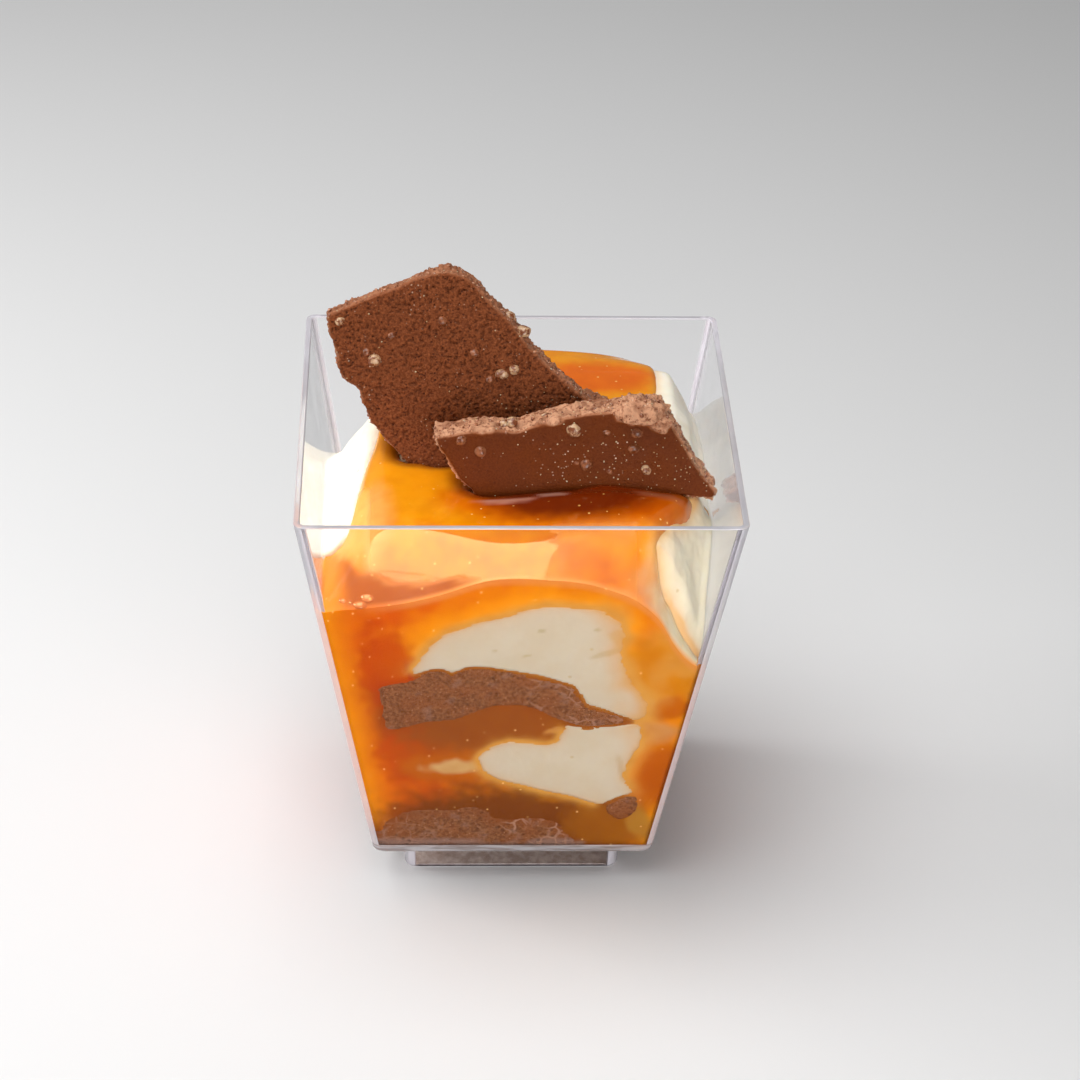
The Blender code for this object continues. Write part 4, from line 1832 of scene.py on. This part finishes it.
@dataclass(frozen=True)
class Lump:
    """A swelling of a slab's surface, on the slab's own axes, in millimetres."""

    along: float
    up: float
    wide: float
    tall: float
    out: float

    def lift(self, own: Vector) -> float:
        """How far the lump lifts a point of the front half of the slab.

        Args:
            own: The point on the slab's own axes.

        Returns:
            The lift in millimetres.
        """
        away = math.hypot((own.x - self.along) / self.wide, (own.z - self.up) / self.tall)
        away += 0.25 * wave(own, 1.1, 17.0)
        return self.out * fall(away, 0.6, 1.05) * fall(own.y, 1.5, 3.0)


@dataclass
class Slab:
    """A broken piece of chocolate standing in the caramel."""

    node: str
    name: str
    corner: Vector
    lean: float
    turn: float
    finish: MilkChocolate
    face_relief: float
    pit_depth: float = 0.0
    pit_apart: float = 0.5
    lumps: tuple[Lump, ...] = ()
    break_relief: float = 0.55
    break_from: float = 0.45
    voxel: float = 0.2
    thick: float = 5.0
    rim_rounds: int = 5
    spot_step: int = 5
    spots: list[tuple[np.ndarray, float, Vector]] = field(default_factory=list)

    @property
    def place(self) -> Matrix:
        """Where the slab's face stands: its own axes are along, behind the face, and up."""
        turned = Matrix.Rotation(math.radians(-self.turn), 4, "Z")
        return Matrix.Translation(self.corner) @ turned @ Matrix.Rotation(math.radians(-self.lean), 4, "X")

    def build(self) -> bpy.types.Object:
        """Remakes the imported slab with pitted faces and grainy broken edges.

        Returns:
            The slab.
        """
        mesh = remeshed(self.name, self.node, self.voxel)
        points = points_of(mesh)
        normals = rows_of(mesh, "normal")
        into = self.place.inverted()
        behind = np.array(self.place.to_3x3())[:, 1]
        flat = np.abs(normals @ behind)
        owns = [into @ Vector(point) for point in points]
        lifts = np.array([max([0.0] + [lump.lift(own) for lump in self.lumps]) for own in owns])
        broken = 1.0 - np.clip((flat - self.break_from) / self.break_from, 0.0, 1.0)
        broken = np.maximum(broken, np.minimum(1.0, 2.0 * lifts))
        pits = np.array([self._pit(own) if self.pit_depth else 0.0 for own in owns])
        reliefs = np.array([self._relief(*row) for row in zip(owns, broken, pits)])
        points = points + normals * (lifts + reliefs)[:, None]
        move_points(mesh, points)
        piece = show(mesh, 70.0)
        # The pits channel is painted shade; rim spreads the breaks onto the face as painted light where the
        # chocolate is thin.
        rim = spread(mesh, broken, self.rim_rounds)
        paint(mesh, "broken", np.stack((broken, pits * (1.0 - broken), rim), axis=1))
        self.spots = list(zip(points, broken, owns))[:: self.spot_step]
        return stands_for(piece, [self.finish.material()], "chocolate", self.node)

    def _pit(self, own: Vector) -> float:
        """How deep a point lies in one of the pits left by air, from 0 to 1."""
        fine = wave(own, self.pit_apart, 11.0) + 0.7 * wave(own, 0.55 * self.pit_apart, 19.0)
        return ramp(fine + 0.25 * wave(own, 3.0, 23.0), 0.12, 0.6)

    def _relief(self, own: Vector, broken: float, pit: float) -> float:
        """How far a point stands out: rough on a break, nearly even on a face.

        Args:
            own: The point on the slab's own axes.
            broken: How far it is a broken edge, from 0 to 1.
            pit: How deep it lies in a pit, from 0 to 1.

        Returns:
            The relief in millimetres.
        """
        coarse = wave(own, 2.2, 1.0) + 0.9 * abs(wave(own, 1.2, 4.0))
        fine = wave(own, 0.5, 7.0)
        rough = self.break_relief * (0.7 * coarse + 0.6 * fine - 0.4)
        face = self.face_relief * (0.5 * coarse + 0.5 * fine) - self.pit_depth * pit
        return broken * rough + (1.0 - broken) * face


@dataclass
class Crystals:
    """Every crystal or every nib on the slabs, as one piece."""

    name: str
    beds: Sequence[tuple[Slab, Sequence[Nib]]]
    seed: int = 7
    shapes: tuple[Span, Span, Span] = ((1.0, 1.3), (1.0, 1.1), (0.9, 1.1))
    turned: float = 0.8
    swollen: float = 1.16

    def build(self, finish: bpy.types.Material) -> bpy.types.Object:
        """Sets a lumpy grain at each place.

        Args:
            finish: The grains' finish.

        Returns:
            The piece.
        """
        chance = random.Random(self.seed)
        bm = bmesh.new()
        for slab, nib in ((slab, nib) for slab, nibs in self.beds for nib in nibs):
            made = bmesh.ops.create_icosphere(bm, subdivisions=3, radius=nib.half)["verts"]
            squash = Matrix.Diagonal([chance.uniform(*span) for span in self.shapes])
            spin = Matrix.Rotation(chance.uniform(-self.turned, self.turned), 3, "Y")
            middle = Vector((nib.along, nib.behind, nib.up))
            for vert in made:
                lumps = self.swollen + 0.22 * wave(vert.co, 0.9, nib.along) + 0.10 * wave(vert.co, 0.35, nib.up)
                vert.co = (slab.place @ (spin @ squash @ (vert.co * lumps) + middle)) * MM
        return stands_for(show(mesh_of(self.name, bm), 50.0), [finish], "chocolate")


class Lies(Enum):
    """Where small grains cling to a slab."""

    BREAKS = "the broken edges"
    FACE = "the face, most at its lower right"

    def share(self, own: Vector, broken: float) -> float:
        """Chance that a grain stays at a point of a slab.

        Args:
            own: The point on the slab's own axes.
            broken: How far the point is a broken edge, from 0 to 1.

        Returns:
            The chance, from 0 to 1.
        """
        if self is Lies.BREAKS:
            return broken**2
        return 0.3 * broken + 0.6 * ramp(own.x, 4.0, 18.0) * fall(own.z, 5.0, 15.0) + 0.05


@dataclass
class Sprinkle:
    """Small grains clinging to the slabs, as one piece."""

    name: str
    slabs: Sequence[Slab]
    lies: Lies
    smallest: float
    largest: float
    seed: int
    amount: int = 420
    off_back: float = 0.6
    squashed: Span = (0.6, 1.1)

    def build(self, finish: bpy.types.Material) -> bpy.types.Object:
        """Drops grains on points drawn from the slabs' surfaces.

        Args:
            finish: The grains' finish.

        Returns:
            The piece.
        """
        chance = random.Random(self.seed)
        bm = bmesh.new()
        for slab in self.slabs:
            left = self.amount
            while left:
                place, broken, own = chance.choice(slab.spots)
                if own.y > slab.thick - self.off_back or chance.random() > self.lies.share(own, broken):
                    continue
                left -= 1
                radius = chance.uniform(self.smallest, self.largest) * MM
                made = bmesh.ops.create_icosphere(bm, subdivisions=1, radius=radius)["verts"]
                squash = [chance.uniform(*self.squashed) for _ in range(3)]
                for vert in made:
                    vert.co = Vector(c * s for c, s in zip(vert.co, squash)) + Vector(place) * MM
        return stands_for(show(mesh_of(self.name, bm), 30.0), [finish], "chocolate")


@dataclass
class Studio:
    """The pale floor, the soft lights and the camera at the photograph's angle."""

    target: Vector = field(default_factory=lambda: Vector((3.658, 0.0, 46.199)))
    yaw: float = 2.507
    elevation: float = 31.616
    roll: float = 1.444
    distance: float = 461.063
    lens: float = 108.3
    film_width: float = 36.0
    seen: Span = (0.01, 20.0)
    floor_half: float = 3.0
    white: float = 0.17
    overhead: float = 300.0
    aimed_at: float = 50.0

    def build(self) -> None:
        """Makes all of it."""
        self._floor()
        self._world()
        self._light("overhead box", (-99.0, -50.0, 430.0), (317.0, 450.0), 1.5)
        self._light("left window", (-420.0, 60.0, 260.0), (260.0, 260.0), 1.1)
        self._light("front fill", (120.0, -520.0, 130.0), (420.0, 300.0), 1.6)
        self._camera()
        bpy.context.scene.view_settings.view_transform = "Standard"

    def _floor(self) -> None:
        """Lays the floor under the foot."""
        bm = bmesh.new()
        bmesh.ops.create_grid(bm, x_segments=2, y_segments=2, size=self.floor_half)
        floor = placed("floor", mesh_of("floor", bm))
        floor.data.materials.append(StudioFloor().material())

    def _world(self) -> None:
        """Surrounds the scene with plain white."""
        world = bpy.data.worlds.new("studio white")
        world.use_nodes = True
        background = world.node_tree.nodes["Background"]
        background.inputs["Color"].default_value = (1.0, 1.0, 1.0, 1.0)
        background.inputs["Strength"].default_value = self.white
        bpy.context.scene.world = world

    def _light(self, name: str, place: Sequence[float], size: Span, power: float) -> None:
        """Hangs a soft box: straight down where it is overhead, or else looking at the cup.

        Args:
            name: The light's name.
            place: Where it hangs, in millimetres.
            size: Its width and height in millimetres.
            power: Its power in watts.
        """
        light = bpy.data.lights.new(name, "AREA")
        light.shape = "RECTANGLE"
        light.size = size[0] * MM
        light.size_y = size[1] * MM
        light.energy = power
        made = placed(name, light)
        made.location = Vector(place) * MM
        aim = (0.0, 0.0, self.aimed_at) if place[2] < self.overhead else (place[0], place[1], 0.0)
        made.rotation_euler = (Vector(aim) - Vector(place)).to_track_quat("-Z", "Y").to_euler()

    def _camera(self) -> None:
        """Places the camera as the photograph was taken."""
        yaw, tilt, roll = (math.radians(value) for value in (self.yaw, self.elevation, self.roll))
        ahead = Vector((math.sin(yaw) * math.cos(tilt), math.cos(yaw) * math.cos(tilt), -math.sin(tilt)))
        level = ahead.cross(Vector((0.0, 0.0, 1.0))).normalized()
        above = level.cross(ahead)
        right = level * math.cos(roll) + above * math.sin(roll)
        up = above * math.cos(roll) - level * math.sin(roll)
        data = bpy.data.cameras.new("camera")
        data.lens = self.lens
        data.sensor_width = self.film_width
        data.clip_start, data.clip_end = self.seen
        made = placed("camera", data)
        turned = Matrix((right, up, -ahead)).transposed().to_4x4()
        made.matrix_world = Matrix.Translation((self.target - ahead * self.distance) * MM) @ turned
        bpy.context.scene.camera = made


GREY_POCKET = srgb(158, 124, 106)
BROWN_SAUCE = srgb(152, 80, 24)
DARK_BROWN_SAUCE = srgb(124, 64, 16)
GOLD_BROWN_SAUCE = srgb(160, 92, 12)
RED_SAUCE = srgb(190, 64, 0)
GOLD_SAUCE = srgb(208, 130, 6)
ORANGE_POOL = srgb(192, 94, 0)
FRONT_MARKS = (
    SauceMark(20.0, 41.0, 8.0, 7.0, GOLD_SAUCE, 0.85, 0.0, 0.2),
    SauceMark(-18.0, 41.5, 4.4, 9.0, RED_SAUCE, 0.8, 4.0),
    SauceMark(-15.0, 26.5, 4.6, 7.5, RED_SAUCE, 0.8, 2.0),
    SauceMark(-4.0, 24.5, 15.0, 8.0, srgb(180, 84, 8), 0.85, -4.0, 0.2),
    SauceMark(-4.0, 30.2, 14.5, 5.6, BROWN_SAUCE, 0.95, -2.0, 0.2),
    SauceMark(-14.9, 40.8, 0.35, 2.2, srgb(176, 60, 24), 0.8, 12.0, 0.1),
    SauceMark(5.3, 29.7, 1.5, 0.6, srgb(208, 146, 70), 0.8, 15.0),
    SauceMark(-0.5, 11.5, 19.0, 8.2, DARK_BROWN_SAUCE, 0.97, -4.0, 0.2),
    SauceMark(13.0, 10.5, 6.5, 5.0, GOLD_BROWN_SAUCE, 0.9, -25.0, 0.2),
    SauceMark(-17.4, 9.0, 2.0, 4.0, srgb(196, 112, 34), 0.8, 0.0, 0.25),
    SauceMark(-10.6, 22.6, 6.2, 2.7, srgb(190, 100, 14), 0.85, 0.0, 0.25),
    SauceMark(-8.6, 22.7, 4.6, 1.4, srgb(210, 172, 112), 0.9, 0.0, 0.3),
    SauceMark(18.6, 29.2, 4.2, 2.4, srgb(206, 146, 84), 0.9, 0.0, 0.15),
    SauceMark(17.6, 34.3, 2.0, 1.4, srgb(200, 152, 88), 0.8, 0.0, 0.3),
    SauceMark(17.6, 21.6, 1.8, 8.4, srgb(216, 140, 60), 0.7, -6.0, 0.15),
    SauceMark(20.6, 21.0, 4.0, 7.4, ORANGE_POOL, 1.0, -6.0, 0.05),
    SauceMark(17.2, 28.6, 0.35, 2.3, srgb(206, 92, 36), 0.7, 8.0, 0.1),
    SauceMark(21.4, 33.8, 3.6, 2.3, ORANGE_POOL, 0.85, 20.0, 0.3),
    SauceMark(17.9, 11.6, 1.9, 3.6, srgb(182, 128, 44), 0.85, 10.0, 0.2),
    SauceMark(-10.8, 7.9, 2.6, 1.0, GREY_POCKET, 0.8, 15.0),
    SauceMark(4.0, 7.7, 5.8, 0.9, GREY_POCKET, 0.9, -3.0),
)
# Patches on the sauce's top: its tones, with painted reflections and painted shade as noted.
TOP_TONES_AND_PAINTED_LIGHT = (
    # The next four are a painted reflection of the front slab: a dark zone in the sauce in front of it, lighter
    # towards its ends.
    SauceMark(-4.0, -12.0, 8.0, 4.0, srgb(226, 112, 0), 0.7, 0.0, 0.12),
    SauceMark(20.0, -14.0, 7.0, 5.0, srgb(206, 104, 0), 0.9, 0.0, 0.1),
    SauceMark(7.0, -13.0, 17.0, 8.6, srgb(204, 78, 0), 0.75, 0.0, 0.08),
    SauceMark(7.0, -12.4, 13.0, 6.2, srgb(98, 20, 0), 0.95, 0.0, 0.08),
    SauceMark(12.0, 19.5, 10.0, 5.0, srgb(230, 96, 0), 0.85, 0.0, 0.12),
    # Painted shade: the cream's colour, darker than its own, laid over the sauce at the front right.
    SauceMark(28.0, -27.5, 11.8, 11.5, srgb(206, 196, 165), 0.95, 0.0, 0.1),
    # Painted reflection: the patch of light carried on, paler, up the dull left flank.
    SauceMark(-21.0, -14.5, 4.4, 8.5, srgb(246, 170, 84), 0.9, 0.0, 0.1),
)
# Painted highlights: pale strips on the sauce where it meets the foot of the front slab.
PAINTED_GLEAMS = (
    SauceMark(-1.6, -12.9, 4.6, 0.7, srgb(206, 148, 128), 0.7, 0.0, 0.15),
    SauceMark(4.6, -11.8, 2.4, 0.8, srgb(206, 160, 146), 0.6, -8.0, 0.15),
    SauceMark(19.8, -12.0, 4.0, 0.9, srgb(176, 104, 76), 0.7, -6.0, 0.15),
)
CREAM_MARKS = (
    SauceMark(12.2, 44.2, 2.6, 0.55, (0.50, 0.38, 0.20), 0.5, 20.0),
    SauceMark(14.8, 22.5, 0.5, 2.6, (0.50, 0.34, 0.16), 0.4, 8.0),
    SauceMark(14.6, 46.4, 2.8, 1.7, (0.60, 0.34, 0.08), 0.5, -30.0),
    SauceMark(3.0, 48.2, 0.6, 0.4, (0.45, 0.36, 0.18), 0.6),
    SauceMark(10.6, 48.4, 0.55, 0.4, (0.45, 0.36, 0.18), 0.6),
    SauceMark(1.2, 43.7, 0.9, 0.35, (0.50, 0.38, 0.18), 0.6, 15.0),
    SauceMark(-3.2, 44.6, 0.5, 0.3, (0.50, 0.38, 0.18), 0.5),
    SauceMark(-12.8, 38.0, 1.7, 0.7, srgb(136, 98, 84), 0.8, 10.0),
)
BUBBLE_PLACES = (
    (-20.3, -25.2, 1.15),
    (-21.3, -25.9, 1.1),
    (-22.6, -25.6, 0.6),
    (-23.6, -25.3, 0.7),
    (-17.0, -26.2, 0.45),
    (-19.2, -26.1, 0.35),
    (-24.4, -23.4, 0.4),
)
BACK_CRYSTALS = (
    Nib(-10.2, 13.5, 0.1, 0.75),
    Nib(7.6, 12.5, 0.1, 0.70),
    Nib(9.2, 13.2, 0.1, 0.65),
    Nib(-15.1, 18.7, 0.1, 0.55),
    Nib(10.1, 18.2, 2.0, 0.80),
    Nib(8.0, 20.1, 2.2, 0.65),
)
BACK_NIBS = (
    Nib(3.7, 15.2, 0.15, 0.60),
    Nib(-0.9, 19.5, 0.15, 0.60),
    Nib(5.9, 11.6, 0.2, 0.55),
    Nib(-7.9, 17.0, 0.2, 0.45),
    Nib(-11.3, 14.6, 0.15, 0.50),
)
FRONT_CRYSTALS = (
    Nib(0.1, 9.6, 2.0, 0.80),
    Nib(3.9, 9.8, 2.0, 0.60),
    Nib(4.8, 9.9, 2.2, 0.75),
    Nib(9.6, 10.9, 2.2, 0.50),
    Nib(13.4, 9.8, 0.1, 0.78),
    Nib(23.4, 3.9, 0.1, 0.60),
)
FRONT_NIBS = (
    Nib(0.7, 6.6, 0.2, 0.72),
    Nib(-1.9, 8.3, 0.1, 0.65),
    Nib(21.6, 7.1, 0.0, 0.66),
    Nib(15.2, 4.6, 0.3, 0.75),
    Nib(17.8, 9.5, 0.15, 0.42),
    Nib(22.0, 9.4, 0.3, 0.75),
    Nib(18.4, 3.6, 0.1, 0.34),
    Nib(13.9, 4.9, 0.1, 0.30),
)
FRONT_LUMPS = (
    Lump(22.4, 12.2, 3.8, 1.7, 1.4),
    Lump(25.2, 10.8, 1.6, 1.4, 0.9),
    Lump(1.0, 9.9, 2.4, 0.8, 0.5),
    Lump(9.5, 11.2, 3.0, 0.8, 0.5),
)
BISCUITS = (
    ("biscuit_middle", "middle_biscuit"),
    ("biscuit_base", "base_biscuit"),
    ("biscuit_chip", "biscuit_crumb"),
)
POROUS = MilkChocolate("porous chocolate", srgb(98, 46, 18), srgb(172, 114, 82), srgb(146, 80, 44), 0.8, 0.5)
MOULDED = MilkChocolate("moulded chocolate", srgb(96, 40, 2), srgb(206, 152, 118), srgb(146, 76, 34), 0.2, 1.0)
GRAINS = (
    ("crystal under chocolate", srgb(198, 162, 126), srgb(124, 70, 42)),
    ("fine sugar", srgb(222, 204, 164), srgb(190, 150, 104)),
    ("cocoa nib", srgb(150, 92, 60), srgb(108, 56, 28)),
    ("chocolate crumb", srgb(186, 130, 98), srgb(128, 74, 44)),
)


def main() -> None:
    """Builds every piece in order, with the studio round it."""
    logging.basicConfig(level=logging.INFO, format="%(message)s")
    sizes = CupSizes.packed()
    around = Surroundings()
    Cup(sizes).build()
    CaramelFill(sizes, around, SauceLook(sizes, around, FRONT_MARKS, TOP_TONES_AND_PAINTED_LIGHT, PAINTED_GLEAMS)).build()

    looks = CheesecakeCream()
    stains_and_shade = StainsAndShade(sizes, around, looks.base, CREAM_MARKS)
    cream = looks.material()
    for node, name in (("cream_upper", "upper_cream"), ("cream_lower", "lower_cream")):
        WallLayer(sizes, node, name, "cream", stains_and_shade.on_cream, voxel=0.36, evened=4).build(cream)
    biscuit = SoakedBiscuit().material()
    for node, name in BISCUITS:
        layer = WallLayer(
            sizes, node, name, "biscuit", stains_and_shade.on_biscuit,
            into_wall=0.16, swell=0.12, swell_size=1.5, grow=0.22,
        )
        layer.build(biscuit)

    at_back, at_front = Vector((-10.0, -1.8, 60.5)), Vector((-5.9, -10.0, 59.6))
    back = Slab("slab_back", "back_slab", at_back, 16.0, 6.0, POROUS, 0.10, pit_depth=0.26)
    front = Slab("slab_front", "front_slab", at_front, 4.5, 0.0, MOULDED, 0.04, lumps=FRONT_LUMPS)
    back.build()
    front.build()
    crystal, sugar, nib, crumb = (CloudyGrain(*look).material() for look in GRAINS)
    Crystals("crystals", ((back, BACK_CRYSTALS), (front, FRONT_CRYSTALS))).build(crystal)
    Crystals("cocoa_nibs", ((back, BACK_NIBS), (front, FRONT_NIBS)), seed=9).build(nib)
    Sprinkle("sugar_grains", (back, front), Lies.FACE, 0.05, 0.14, 11).build(sugar)
    Sprinkle("chocolate_crumbs", (back, front), Lies.BREAKS, 0.10, 0.34, 12).build(crumb)
    Bubbles(around, BUBBLE_PLACES).build(CaramelSauce().material())
    Studio().build()


if __name__ == "__main__":
    main()
